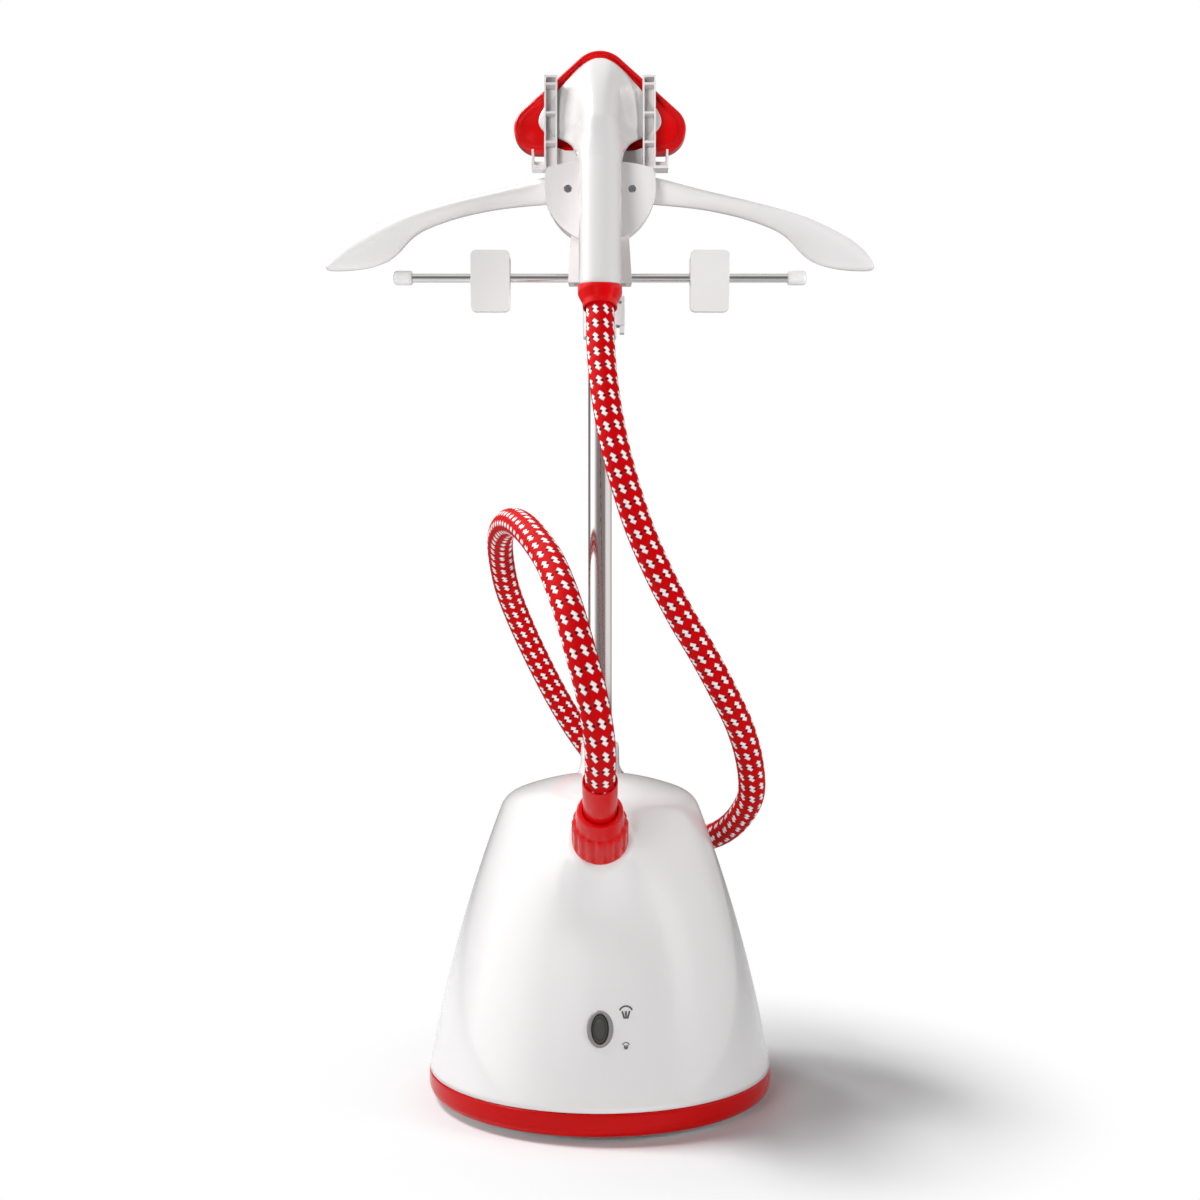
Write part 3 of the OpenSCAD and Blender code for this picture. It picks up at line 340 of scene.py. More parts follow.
# Millimetres across and along one repeat, then along and across the strands
across = times(minus(reckon("FRACT", times(sleeve_xy.outputs[0], sleeve_columns)), 0.5),
               repeat_wide)
along = times(minus(reckon("FRACT", times(sleeve_xy.outputs[1], hose_length / tile)), 0.5),
              repeat_long)
down = minus(times(across, slant_cos), times(along, slant_sin))
up = plus(times(across, slant_sin), times(along, slant_cos))
strands = []
for side in (-1, 1):
    ends = minus(strand_half_long, reckon("ABSOLUTE", plus(down, side * step_long)))
    flanks = minus(strand_half_wide, reckon("ABSOLUTE", minus(up, side * step_wide)))
    strands.append(reckon("MINIMUM", ends, flanks))
depth = reckon("MAXIMUM", *strands)
white = between(tree, depth, -0.08, 0.12)
crown = times(between(tree, depth, -0.1, 1.1), 0.6)
# The red strands round them, told apart by fine gaps both ways, sunk in the relief and painted dark
# as shade
gaps = []
for value, pitch in ((up, red_wide), (down, red_long)):
    wave = reckon("ABSOLUTE", minus(reckon("FRACT", reckon("DIVIDE", value, pitch)), 0.5))
    gaps.append(between(tree, wave, 0.5, 0.30))
red_crown = reckon("MINIMUM", gaps[0], plus(times(gaps[1], 0.5), 0.5))
away = between(tree, depth, -0.05, -0.75)
red_height = times(plus(times(red_crown, 0.45), 0.55), plus(times(away, 0.65), 0.35))
groove = plus(times(white, plus(crown, 0.4)), times(minus(1.0, white), red_height))
# Dark pockets where the two strands of a mark step apart, left and right: painted shade, in the
# colour only
pocket_wide, pocket_long = 2.7, 0.45
shade_per_pocket = []
for side in (-1, 1):
    px = times(minus(across, side * pocket_wide), 0.75)
    py = plus(along, side * pocket_long)
    reach = reckon("SQRT", plus(times(px, px), times(py, py)))
    shade_per_pocket.append(between(tree, reach, 0.55, 1.45))
pocket_shade = times(*shade_per_pocket)

def mix_colour(tree, factor, a, b):
    node = tree.nodes.new("ShaderNodeMix")
    node.data_type = "RGBA"
    sockets = (node.inputs["Factor"], node.inputs[6], node.inputs[7])
    for socket, value in zip(sockets, (factor, a, b)):
        if isinstance(value, bpy.types.NodeSocket):
            link(tree, value, socket)
        else:
            socket.default_value = value
    return node.outputs[2]

def stretched(tree, place, scale):
    """The same place, scaled on each axis, for a pattern that is longer one way."""
    node = tree.nodes.new("ShaderNodeMapping")
    node.inputs["Scale"].default_value = scale
    link(tree, place, node.inputs["Vector"])
    return node.outputs[0]

def noise(tree, place, scale, detail):
    node = tree.nodes.new("ShaderNodeTexNoise")
    node.inputs["Scale"].default_value = scale
    node.inputs["Detail"].default_value = detail
    link(tree, place, node.inputs["Vector"])
    return node.outputs["Fac"]

def fine_relief(tree, height, strength, distance):
    """Relief too fine for the mesh, on a material's own shader."""
    bump = tree.nodes.new("ShaderNodeBump")
    bump.inputs["Strength"].default_value = strength
    bump.inputs["Distance"].default_value = distance
    link(tree, height, bump.inputs["Height"])
    link(tree, bump.outputs[0], tree.nodes["Principled BSDF"].inputs["Normal"])

fibre = noise(tree, stretched(tree, sleeve_uv.outputs[0], (60, 2600, 1)), 1.6, 3)
red_yarn = mix_colour(tree, fibre, (0.50, 0.001, 0.002, 1), (0.70, 0.001, 0.004, 1))
white_yarn = mix_colour(tree, fibre, (0.86, 0.79, 0.79, 1), (0.97, 0.93, 0.93, 1))
yarn = mix_colour(tree, white, red_yarn, white_yarn)
# Painted shade: the yarn's colour goes to a near-black red where the braid lies low and in the
# pockets
shade = times(between(tree, groove, 0.05, 0.9, 0.35, 1.0), plus(times(pocket_shade, 0.92), 0.08))
shaded = mix_colour(tree, shade, (0.09, 0.002, 0.004, 1), yarn)
yarn_shader = tree.nodes["Principled BSDF"]
link(tree, shaded, yarn_shader.inputs["Base Color"])
yarn_shader.inputs["Roughness"].default_value = 0.72
yarn_shader.inputs["Specular IOR Level"].default_value = 0.12
fine_relief(tree, plus(groove, times(fibre, 0.25)), 0.6, 0.0005)
for piece in (hose_lower, hose_upper):
    piece.data.materials.append(braid)
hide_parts("steam_hose")
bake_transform(hose_lower)
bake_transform(hose_upper)

# ---- Hose nut and cuff ----
# The union nut that holds the hose on the base, with sixteen flutes, and the plain cuff that
# the hose is glued into. Both are moulded in glossy red plastic.
seat_frame = Matrix.Translation((0, -0.111, 0.241)) @ Matrix.Rotation(radians(50), 4, "X")

def spun(profile, steps, closed=True, bm=None):
    """A profile of radius and height, turned once round Z into a mesh."""
    if bm is None:
        bm = bmesh.new()
    line = [bm.verts.new((r, 0, z)) for r, z in profile]
    pairs = list(zip(line, line[1:])) + ([(line[-1], line[0])] if closed else [])
    edges = [bm.edges.new(p) for p in pairs]
    bmesh.ops.spin(bm, geom=line + edges, cent=(0, 0, 0), axis=(0, 0, 1), angle=2 * pi,
                   steps=steps, use_merge=True)
    bmesh.ops.remove_doubles(bm, verts=bm.verts, dist=1e-6)
    return bm

def as_object(name, bm, smooth_under=38):
    """Ends a mesh: smooth where its faces meet at a shallow angle, sharp elsewhere."""
    for face in bm.faces:
        face.smooth = True
    for e in bm.edges:
        if len(e.link_faces) == 2 and e.calc_face_angle() > radians(smooth_under):
            e.smooth = False
    return placed(name, bm)

def turned_piece(name, profile, place=Matrix.Identity(4), steps=96, closed=True):
    """A piece turned on its own Z axis from a profile, then put in place."""
    bm = spun(profile, steps, closed)
    bmesh.ops.recalc_face_normals(bm, faces=bm.faces)
    bm.transform(place)
    return as_object(name, bm)

def rounded(profile, radius, steps=3):
    """A closed profile with each of its corners rounded."""
    out = []
    for i, p in enumerate(profile):
        a, b, c = Vector(profile[i - 1]), Vector(p), Vector(profile[(i + 1) % len(profile)])
        r = min(radius, (a - b).length * 0.45, (c - b).length * 0.45)
        start, end = b + (a - b).normalized() * r, b + (c - b).normalized() * r
        for k in range(steps + 1):
            t = k / steps
            out.append(((1 - t) ** 2 * start + 2 * t * (1 - t) * b + t * t * end).to_tuple())
    return out

cuff = turned_piece("hose_cuff_red", rounded([
    (0.0142, 0.040), (0.0142, 0.0905), (0.0128, 0.0905), (0.0128, 0.066), (0.0070, 0.0655),
    (0.0070, 0.040)], 0.0007), seat_frame)
nut_profile = rounded([
    (0.0180, 0.0003), (0.0222, 0.0003), (0.0237, 0.0030), (0.0236, 0.0285), (0.0226, 0.0320),
    (0.0205, 0.0335), (0.0200, 0.0400), (0.0190, 0.0480), (0.0182, 0.0498), (0.0146, 0.0498),
    (0.0146, 0.0300)], 0.0008)
flutes, flute_depth, flute_half = 16, 0.0017, 0.28
flute_foot, flute_top = 0.003, 0.034
grip_radius, neck_radius = 0.022, 0.0203
bm = spun(nut_profile, 192)
long_edges = [e for e in bm.edges if abs(e.verts[0].co.z - e.verts[1].co.z) > 0.008
              and min(v.co.xy.length for v in e.verts) > grip_radius]
bmesh.ops.subdivide_edges(bm, edges=long_edges, cuts=10, use_grid_fill=True)
for v in bm.verts:
    r, a = v.co.xy.length, atan2(v.co.y, v.co.x)
    if r > neck_radius:
        wave = (a * flutes / (2 * pi)) % 1
        flute = max(0.0, 1 - (abs(wave - 0.5) / flute_half) ** 2)
        fade_in = min(1, max(0, (v.co.z - flute_foot) / 0.006))
        fade_out = min(1, max(0, (flute_top - v.co.z) / 0.002))
        v.co.xy *= (r - flute_depth * flute * fade_in * fade_out) / r
bmesh.ops.recalc_face_normals(bm, faces=bm.faces)
bm.transform(seat_frame)
nut = as_object("hose_nut_red", bm, 50)

def moulded(name, colour, rough=0.2, coat=0.0, grain=0.05, tone=0.03):
    """Moulded plastic: a slight flow of tone, a roughness that varies and a fine skin."""
    made = bpy.data.materials.new(name)
    made.use_nodes = True
    tree = made.node_tree
    shader = tree.nodes["Principled BSDF"]
    where = tree.nodes.new("ShaderNodeTexCoord").outputs["Object"]
    darker = [c * (1 - tone) for c in colour[:3]] + [1]
    lighter = [min(1, c * (1 + tone / 2)) for c in colour[:3]] + [1]
    link(tree, mix_colour(tree, noise(tree, where, 9, 2), darker, lighter),
         shader.inputs["Base Color"])
    skin = noise(tree, where, 1400, 3)
    link(tree, between(tree, skin, 0.2, 0.8, rough * 0.92, rough * 1.1),
         shader.inputs["Roughness"])
    fine_relief(tree, skin, grain, 0.00012)
    shader.inputs["Coat Weight"].default_value = coat
    shader.inputs["Coat Roughness"].default_value = 0.05
    return made

red_gloss = moulded("red_gloss", (0.66, 0.001, 0.002), 0.24, 0.12, 0.04)
red_gloss.node_tree.nodes["Principled BSDF"].inputs["Specular IOR Level"].default_value = 0.22

def finish(obj, made, slot_name, body, *nodes):
    """Gives a piece its material and its body, and hides the CAD nodes it replaces; slot_name is
    not used.
    """
    obj.data.materials.clear()
    obj.data.materials.append(made)
    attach(obj, body)
    if nodes:
        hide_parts(*nodes)

finish(cuff, red_gloss, "red_plastic", "base", "hose_cuff")
finish(nut, red_gloss, "red_plastic", "nut", "hose_nut")

# ---- White body and red skirt ----
# The front half of the base is one glossy white moulding that swells out to the hose nut. It
# stands in a red skirt ring, with a fine step between the two.
body_floor, body_shoulder, body_top = 0.027, 0.258, 0.290
foot_radius, shoulder_radius, crown_radius = 0.1545, 0.091, 0.0625
side_swell, crown_rise = 0.024, 0.010
side_rows, corner_rows, crown_rows = 56, 16, 8

def body_side(z):
    """Outer radius of the body's side at a height."""
    t = (z - body_floor) / (body_shoulder - body_floor)
    return foot_radius + (shoulder_radius - foot_radius) * t + side_swell * t * (1 - t)

body_profile = []
for i in range(side_rows + 1):
    z = body_floor + (body_shoulder - body_floor) * i / side_rows
    body_profile.append((body_side(z), z))
corner = [Vector((shoulder_radius, body_shoulder)), Vector((0.0865, 0.272)),
          Vector((0.075, 0.276)), Vector((crown_radius, body_top - crown_rise))]
for i in range(1, corner_rows + 1):
    t = i / corner_rows
    p = ((1 - t) ** 3 * corner[0] + 3 * t * (1 - t) ** 2 * corner[1]
         + 3 * t * t * (1 - t) * corner[2] + t ** 3 * corner[3])
    body_profile.append((p.x, p.y))
for i in range(1, crown_rows + 1):
    t = 1 - i / crown_rows
    body_profile.append((crown_radius * t, body_top - crown_rise * t ** 2))

def dome():
    """The whole body of revolution, as an open skin with its pole on top."""
    bm = spun(body_profile, 240, closed=False)
    bmesh.ops.recalc_face_normals(bm, faces=bm.faces)
    return bm

seat_inverse = seat_frame.inverted()
cone_seat, cone_root, cone_length = 0.026, 0.062, 0.08
cone_slope = (cone_root - cone_seat) / cone_length

def swelling(p):
    """How far a point is outside the cone of the hose connector, in metres."""
    q = seat_inverse @ p
    radius = cone_seat - cone_slope * q.z
    side = (q.xy.length - radius) / sqrt(1 + cone_slope ** 2)
    return max(side, q.z)

def swollen(t, p, outward, root=0.034):
    """Below zero inside the body with its swelling, at t metres out from a point of its side."""
    cone = swelling(p + outward * t)
    meet = max(root - abs(t - cone), 0) / root
    return min(t, cone) - meet * meet * root / 4

def sliced(bm, point, normal, clear=False):
    """Cuts a mesh by a plane, and clears what lies beyond it where asked."""
    bmesh.ops.bisect_plane(bm, geom=bm.verts[:] + bm.edges[:] + bm.faces[:], dist=1e-6,
                           plane_co=point, plane_no=normal, clear_outer=clear)

switch_z, switch_lean = 0.092, radians(12.924)
switch_frame = (Matrix.Translation((0, -body_side(switch_z), switch_z))
                @ Matrix.Rotation(pi / 2 - switch_lean, 4, "X"))
hole_wide, hole_high = 0.0082, 0.0132
seam_y, shelf_z, tank_gap = 0.0545, 0.0475, 0.0005
bm = dome()
for v in bm.verts:
    p, outward = v.co.copy(), v.normal.copy()
    if p.y > -0.01 or swelling(p) > 0.04:
        continue
    # Each point moves out along its own normal to the skin where side and cone run together
    low, high = 0.0, 0.06
    for step in range(22):
        mid = (low + high) / 2
        if swollen(mid, p, outward) < 0.0:
            low = mid
        else:
            high = mid
    v.co = p + outward * low
sliced(bm, (0, seam_y, 0), (0, 1, 0))
sliced(bm, (0, 0, shelf_z), (0, 0, 1))
# The hole for the switch, a little wider than the opening of its bezel
near = [face for face in bm.faces
        if (face.calc_center_median() - switch_frame.translation).length < 0.022]
bmesh.ops.subdivide_edges(bm, edges=list({e for face in near for e in face.edges}), cuts=3,
                          use_grid_fill=True)
switch_inverse = switch_frame.inverted()
in_hole = []
for face in bm.faces:
    c = switch_inverse @ face.calc_center_median()
    if abs(c.z) < 0.004 and (c.x / hole_wide) ** 2 + (c.y / hole_high) ** 2 < 1:
        in_hole.append(face)
bmesh.ops.delete(bm, geom=in_hole, context="FACES")
rear = [face for face in bm.faces if face.calc_center_median().y > seam_y
        and face.calc_center_median().z > shelf_z]
bmesh.ops.delete(bm, geom=rear, context="FACES")

def walled(obj, thickness):
    """Gives an open skin its wall, on the inside."""
    wall = obj.modifiers.new("wall", "SOLIDIFY")
    wall.thickness = thickness
    wall.offset = -1

body = as_object("white_body", bm, 60)
walled(body, 0.0025)
white_gloss = moulded("white_gloss", (0.85, 0.838, 0.835), 0.22, 0.7, 0.03, 0.012)
finish(body, white_gloss, "white_plastic", "base", "front_shell")

skirt = turned_piece("skirt_ring", rounded([
    (0.146, 0.0062), (0.1500, 0.0062), (0.1527, 0.0080), (0.1543, 0.0110), (0.1550, 0.0150),
    (0.1550, 0.0252), (0.1540, 0.0263), (0.1520, 0.0266), (0.146, 0.0266)], 0.0009), steps=240)
# Painted shade: the skirt gets a darker, less shiny copy of the red plastic
skirt_red_painted_shade = moulded("skirt_red_painted_shade", (0.58, 0.001, 0.001), 0.20, 0.05, 0.04)
skirt_red_painted_shade.node_tree.nodes["Principled BSDF"].inputs["Specular IOR Level"].default_value = 0.12
finish(skirt, skirt_red_painted_shade, "red_plastic", "base", "red_skirt")

# ---- Water tank ----
# The rear half of the dome is the tank, blown in milky plastic. It stands on the shelf of the
# body, and its neck and bayonet cap are underneath.
tank_front = seam_y + tank_gap
bm = dome()
sliced(bm, (0, tank_front, 0), (0, -1, 0), clear=True)
sliced(bm, (0, 0, shelf_z + tank_gap), (0, 0, -1), clear=True)
# Its flat front is filled first, then its floor
bmesh.ops.contextual_create(bm, geom=[
    e for e in bm.edges if len(e.link_faces) == 1
    and max(abs(v.co.y - tank_front) for v in e.verts) < 1e-5])
bmesh.ops.contextual_create(bm, geom=[e for e in bm.edges if len(e.link_faces) == 1])
bmesh.ops.recalc_face_normals(bm, faces=bm.faces)
brink = [e for e in bm.edges if len(e.link_faces) == 2 and e.calc_face_angle() > radians(50)]
bmesh.ops.bevel(bm, geom=brink, offset=0.0012, offset_type="OFFSET", affect="EDGES", segments=3,
                profile=0.5, material=-1, clamp_overlap=True)
tank = as_object("tank_shell", bm)
milky = moulded("milky_plastic", (0.86, 0.87, 0.885), 0.24, 0.2, 0.04, 0.02)
milky_shader = milky.node_tree.nodes["Principled BSDF"]
milky_shader.inputs["Subsurface Weight"].default_value = 0.25
milky_shader.inputs["Subsurface Radius"].default_value = (0.02, 0.02, 0.02)
milky_shader.inputs["Subsurface Scale"].default_value = 0.5
finish(tank, milky, "tank_plastic", "tank", "water_tank")

# ---- Switch ----
# A silvery oval bezel clipped into the front of the body, round a darker oval rocker with a
# raised pad for the finger.

def lofted(rings, cap_start=True, cap_end=True):
    """A skin drawn through a row of rings with the same number of points, closed at its ends."""
    bm = bmesh.new()
    count = len(rings[0])
    rim = list(bmesh.ops.create_circle(bm, segments=count, radius=1)["verts"])
    spot = {v: i for i, v in enumerate(rim)}
    rim_edges = first_edges = list(bm.edges)
    for v, p in zip(rim, rings[0]):
        v.co = p
    for ring in rings[1:]:
        grown = bmesh.ops.extrude_edge_only(bm, edges=rim_edges)["geom"]
        fresh = {g for g in grown if isinstance(g, bmesh.types.BMVert)}
        for v in fresh:
            grown_from = next(e.other_vert(v) for e in v.link_edges
                              if e.other_vert(v) not in fresh)
            spot[v] = spot[grown_from]
            v.co = ring[spot[v]]
        rim_edges = [g for g in grown if isinstance(g, bmesh.types.BMEdge)
                     and g.verts[0] in fresh and g.verts[1] in fresh]
    if cap_start:
        bmesh.ops.edgeloop_fill(bm, edges=first_edges)
    if cap_end:
        bmesh.ops.edgeloop_fill(bm, edges=rim_edges)
    bmesh.ops.recalc_face_normals(bm, faces=bm.faces)
    return bm

def oval_ring(width, height, z, count=64):
    return [Vector((width / 2 * cos(2 * pi * i / count), height / 2 * sin(2 * pi * i / count), z))
            for i in range(count)]

bm = lofted([oval_ring(w, h, z) for w, h, z in (
    (0.0142, 0.0242, -0.006), (0.0142, 0.0242, -0.0004), (0.0150, 0.0250, 0.0006),
    (0.0170, 0.0262, 0.0012), (0.0190, 0.0275, 0.0013), (0.0206, 0.0287, 0.0010),
    (0.0217, 0.0297, 0.0004), (0.0220, 0.0300, -0.0004), (0.0190, 0.0270, -0.0006),
    (0.0189, 0.0269, -0.006))], False, False)
bm.transform(switch_frame)
bezel = as_object("switch_bezel_ring", bm)
satin_grey = moulded("satin_grey", (0.27, 0.255, 0.26), 0.30, 0.2, 0.08)
finish(bezel, satin_grey, "bezel_plastic", "base", "switch_bezel")
bm = lofted([oval_ring(w, h, z) for w, h, z in (
    (0.0130, 0.0230, -0.0048), (0.0131, 0.0231, -0.0004), (0.0126, 0.0226, 0.0001),
    (0.0108, 0.0204, 0.0000), (0.0094, 0.0172, -0.0001), (0.0089, 0.0164, 0.0002),
    (0.0085, 0.0158, 0.0009), (0.0078, 0.0150, 0.0012), (0.0040, 0.0080, 0.00125))])
bm.transform(switch_frame)
rocker = as_object("switch_rocker_oval", bm)
dark_grey = moulded("dark_grey_gloss", (0.060, 0.058, 0.050), 0.55, 0.0, 0.08)
finish(rocker, dark_grey, "rocker_plastic", "rocker", "switch_rocker")

stroke_half, ink_lift, ink_thick = 0.058, 0.00025, 0.0002

def steam_mark(size, centre):
    """A printed steam sign: an arc over three short strokes, laid on the body's side."""
    bm = bmesh.new()
    half = stroke_half * size
    strokes = [[(0.52 * cos(radians(a)), 0.46 * sin(radians(a))) for a in range(20, 161, 10)]]
    strokes += [[(x * 0.13, -0.46), (x * 0.20, -0.20), (x * 0.30, 0.10)] for x in (-1, 0, 1)]
    for stroke in strokes:
        for (x0, y0), (x1, y1) in zip(stroke, stroke[1:]):
            a, b = Vector((x0, y0)) * size, Vector((x1, y1)) * size
            side = Vector((-(b - a).y, (b - a).x)).normalized() * half
            corners = [a + side, b + side, b - side, a - side]
            quad = []
            for c in corners:
                x, z = centre[0] + c.x, centre[1] + c.y
                reach = body_side(z) + ink_lift
                quad.append(bm.verts.new((x, -sqrt(reach * reach - x * x), z)))
            bm.faces.new(quad)
    return bm

printed = moulded("printed_grey", (0.07, 0.068, 0.068), 0.5, 0.0, 0.1)
for label, size, centre in (("steam_mark_large", 0.0105, (0.0213, 0.1047)),
                            ("steam_mark_small", 0.0056, (0.0213, 0.0788))):
    mark = as_object(label, steam_mark(size, centre))
    mark.modifiers.new("ink", "SOLIDIFY").thickness = ink_thick
    finish(mark, printed, "dark_plastic", "base")

# ---- Pole ----
# Two polished tubes, the upper one sliding in the lower. A collar moulded in pale plastic holds
# the lower tube on the base, and a white lock collar with a lever is pressed on its top.
pole_place = Matrix.Translation((0, 0.033, 0))
lower_tube = turned_piece("pole_lower", rounded([
    (0.0100, 0.0185), (0.0110, 0.0185), (0.0110, 0.7145), (0.0100, 0.7145)], 0.0003), pole_place)
upper_tube = turned_piece("pole_upper_tube", rounded([
    (0.0085, 0.1805), (0.0095, 0.1805), (0.0095, 0.8275), (0.0085, 0.8275)], 0.0003), pole_place)
polished = bpy.data.materials.new("polished_metal")
polished.use_nodes = True
tree = polished.node_tree
shader = tree.nodes["Principled BSDF"]
shader.inputs["Metallic"].default_value = 1.0
where = tree.nodes.new("ShaderNodeTexCoord").outputs["Object"]
drawn_lines = noise(tree, stretched(tree, where, (900, 900, 6)), 1.0, 3)
link(tree, mix_colour(tree, drawn_lines, (0.66, 0.65, 0.645, 1), (0.76, 0.75, 0.745, 1)),
     shader.inputs["Base Color"])
link(tree, between(tree, drawn_lines, 0.2, 0.8, 0.08, 0.17), shader.inputs["Roughness"])
finish(lower_tube, polished, "pole_metal", "base", "fixed_tube")
finish(upper_tube, polished, "pole_metal", "pole_upper", "sliding_tube")

pole_collar = turned_piece("pole_collar_ring", rounded([
    (0.0112, 0.2845), (0.0205, 0.2845), (0.0200, 0.2900), (0.0182, 0.2945), (0.0178, 0.3100),
    (0.0172, 0.3145), (0.0158, 0.3158), (0.0112, 0.3158)], 0.0012), pole_place)
pale_gloss = moulded("pale_gloss", (0.86, 0.825, 0.82), 0.22, 0.2, 0.04, 0.015)
finish(pole_collar, pale_gloss, "pale_plastic", "base", "pole_collar")

def softened(name, node, width=0.0006, segments=2, over=30):
    """A copy of a node's solid with its loose faces merged and its edges rounded over."""
    bm = bmesh.new()
    bm.from_mesh(frame["nodes"][node].data)
    bmesh.ops.remove_doubles(bm, verts=bm.verts, dist=1e-5)
    bmesh.ops.dissolve_limit(bm, angle_limit=radians(0.6), verts=bm.verts, edges=bm.edges)
    hard = [e for e in bm.edges if len(e.link_faces) == 2 and e.calc_face_angle() > radians(over)]
    bmesh.ops.bevel(bm, geom=hard, offset=width, offset_type="OFFSET", affect="EDGES",
                    segments=segments, profile=0.5, material=-1, clamp_overlap=True)
    obj = as_object(name, bm)
    even = obj.modifiers.new("even_shading", "WEIGHTED_NORMAL")
    even.keep_sharp = True
    return obj

finish(softened("lock_collar_body", "lock_collar", 0.0009, 3), white_gloss, "white_plastic",
       "base", "lock_collar")
finish(softened("lock_lever_body", "lock_lever", 0.0008, 3), white_gloss, "white_plastic",
       "lever", "lock_lever")

# ---- Hanger arms ----
# Two hollow arms of glossy white plastic, plugged into the sides of the bracket. Each has a
# rounded ridge along its front and droops to a flat-bottomed tip.

# Upper and lower edge in millimetres, outwards from the pole and up from the arms' root
arm_top = [(40, 18.2), (50, 16.8), (70, 11.5), (94, 4.6), (127, -2.8), (150, -8.4), (170, -13.6),
           (190, -19.8), (209, -28.3), (222, -34.8), (234, -42.2), (243, -49.6), (249, -57),
           (252, -63)]
arm_bottom = [(40, -7.2), (49, -8.0), (70, -9.6), (94, -12), (127, -18.6), (150, -26.4),
              (166, -33.2), (176.4, -42), (184, -52), (193, -59.8), (203, -64.2), (214, -67.2),
              (227, -68.9), (240, -69.4)]
arm_tip_top, arm_tip_bottom, arm_tip_thick = (253.2, -67), (250, -69.5), 3.2
arm_y, arm_z = 8, 821
root_thick, tip_thinner = 10.8, 4.5
arm_points = 28
ridge_height, ridge_wide = 0.62, 0.42
back_share = 0.82       # the back of an arm is this much as deep as its front

def arm_ring(top, bottom, thick, side):
    """One cross-section of an arm, with its ridge a third of the way down its front."""
    t, b = Vector((top[0], 0, top[1])), Vector((bottom[0], 0, bottom[1]))
    ring = []
    for i in range(arm_points):
        a = 2 * pi * i / arm_points
        up = (1 + (abs(cos(a)) ** 0.72) * (1 if cos(a) > 0 else -1)) / 2
        p = b + (t - b) * up
        out = (abs(sin(a)) ** 0.8) * (1 if sin(a) > 0 else -1)
        front = thick * (0.5 + 0.5 * exp(-((up - ridge_height) / ridge_wide) ** 2))
        p.y = arm_y - (front if out > 0 else thick * back_share) * out
        p.x *= side
        p.z += arm_z
        ring.append(p / 1000)
    return ring

def smoothed(obj):
    """Rounds a piece off between its points."""
    smooth = obj.modifiers.new("smooth", "SUBSURF")
    smooth.levels = smooth.render_levels = 2

for side, label in ((-1, "left"), (1, "right")):
    rings = []
    for i, (t, b) in enumerate(zip(arm_top, arm_bottom)):
        s = i / (len(arm_top) - 1)
        rings.append(arm_ring(t, b, root_thick - tip_thinner * s ** 2, side))
    rings.append(arm_ring(arm_tip_top, arm_tip_bottom, arm_tip_thick, side))
    arm = as_object(label + "_hanger_arm", lofted(rings), 60)
    smoothed(arm)
    finish(arm, white_gloss, "white_plastic", "pole_upper", label + "_arm")

# ---- Bracket and cradle ----
# A pale round bracket clamped on the pole, its front cover held by two recessed screws. The
# ribbed cradle above it carries the steam head by its rim.
finish(softened("bracket_cover_plate", "bracket_cover", 0.0011, 3), pale_gloss, "pale_plastic",
       "pole_upper", "bracket_cover")
finish(softened("bracket_back", "bracket_body", 0.0008, 2), pale_gloss, "pale_plastic",
       "pole_upper", "bracket_body")
finish(softened("cradle", "head_cradle", 0.0004, 2), pale_gloss, "pale_plastic",
       "pole_upper", "head_cradle")

# ---- Trouser bar and clips ----
# A thin chromed bar under the arms, with a soft clear cap pushed on each end. Two clips of glossy
# white plastic slide on it, and the two jaws of each are pressed together by a spring.
bar_y, bar_z, bar_half, bar_radius = 0.010, 0.7456, 0.184, 0.004
bar = turned_piece("trouser_bar_rod", rounded([
    (0.0, -bar_half), (bar_radius, -bar_half), (bar_radius, bar_half), (0.0, bar_half)], 0.0004),
    Matrix.Translation((0, bar_y, bar_z)) @ Matrix.Rotation(pi / 2, 4, "Y"), 64, False)
finish(bar, polished, "bar_chrome", "pole_upper", "trouser_bar")
cap_line = [(0.0041, 0.0), (0.0058, 0.0), (0.0064, 0.0008), (0.0065, 0.0030), (0.0065, 0.0125),
            (0.0062, 0.0148), (0.0052, 0.0162), (0.0034, 0.0169), (0.0, 0.0170), (0.0, 0.0106),
            (0.0041, 0.0106)]
cap_foot = 0.1735       # distance of each cap's open end from the middle
clear_cap = moulded("clear_cap", (0.90, 0.895, 0.89), 0.25, 0.2, 0.05)
clear_shader = clear_cap.node_tree.nodes["Principled BSDF"]
clear_shader.inputs["Subsurface Weight"].default_value = 0.2
clear_shader.inputs["Subsurface Radius"].default_value = (0.01, 0.01, 0.01)
bm = bmesh.new()
for side in (-1, 1):
    spun(cap_line, 48, bm=bm)
    cap_place = (Matrix.Translation((side * cap_foot, bar_y, bar_z))
                 @ Matrix.Rotation(side * pi / 2, 4, "Y"))
    bmesh.ops.transform(bm, verts=[v for v in bm.verts if not v.tag], matrix=cap_place)
    for v in bm.verts:
        v.tag = True
bmesh.ops.recalc_face_normals(bm, faces=bm.faces)
finish(as_object("bar_end_caps", bm), clear_cap, "cap_plastic", "pole_upper", "bar_caps")
for label in ("left", "right"):
    finish(softened(label + "_clip_back_jaw", label + "_clip_back", 0.0008, 3), white_gloss,
           "white_plastic", label + "_clip", label + "_clip_back")
    finish(softened(label + "_clip_front_jaw", label + "_clip_front", 0.0008, 3), white_gloss,
           "white_plastic", label + "_jaw", label + "_clip_front")

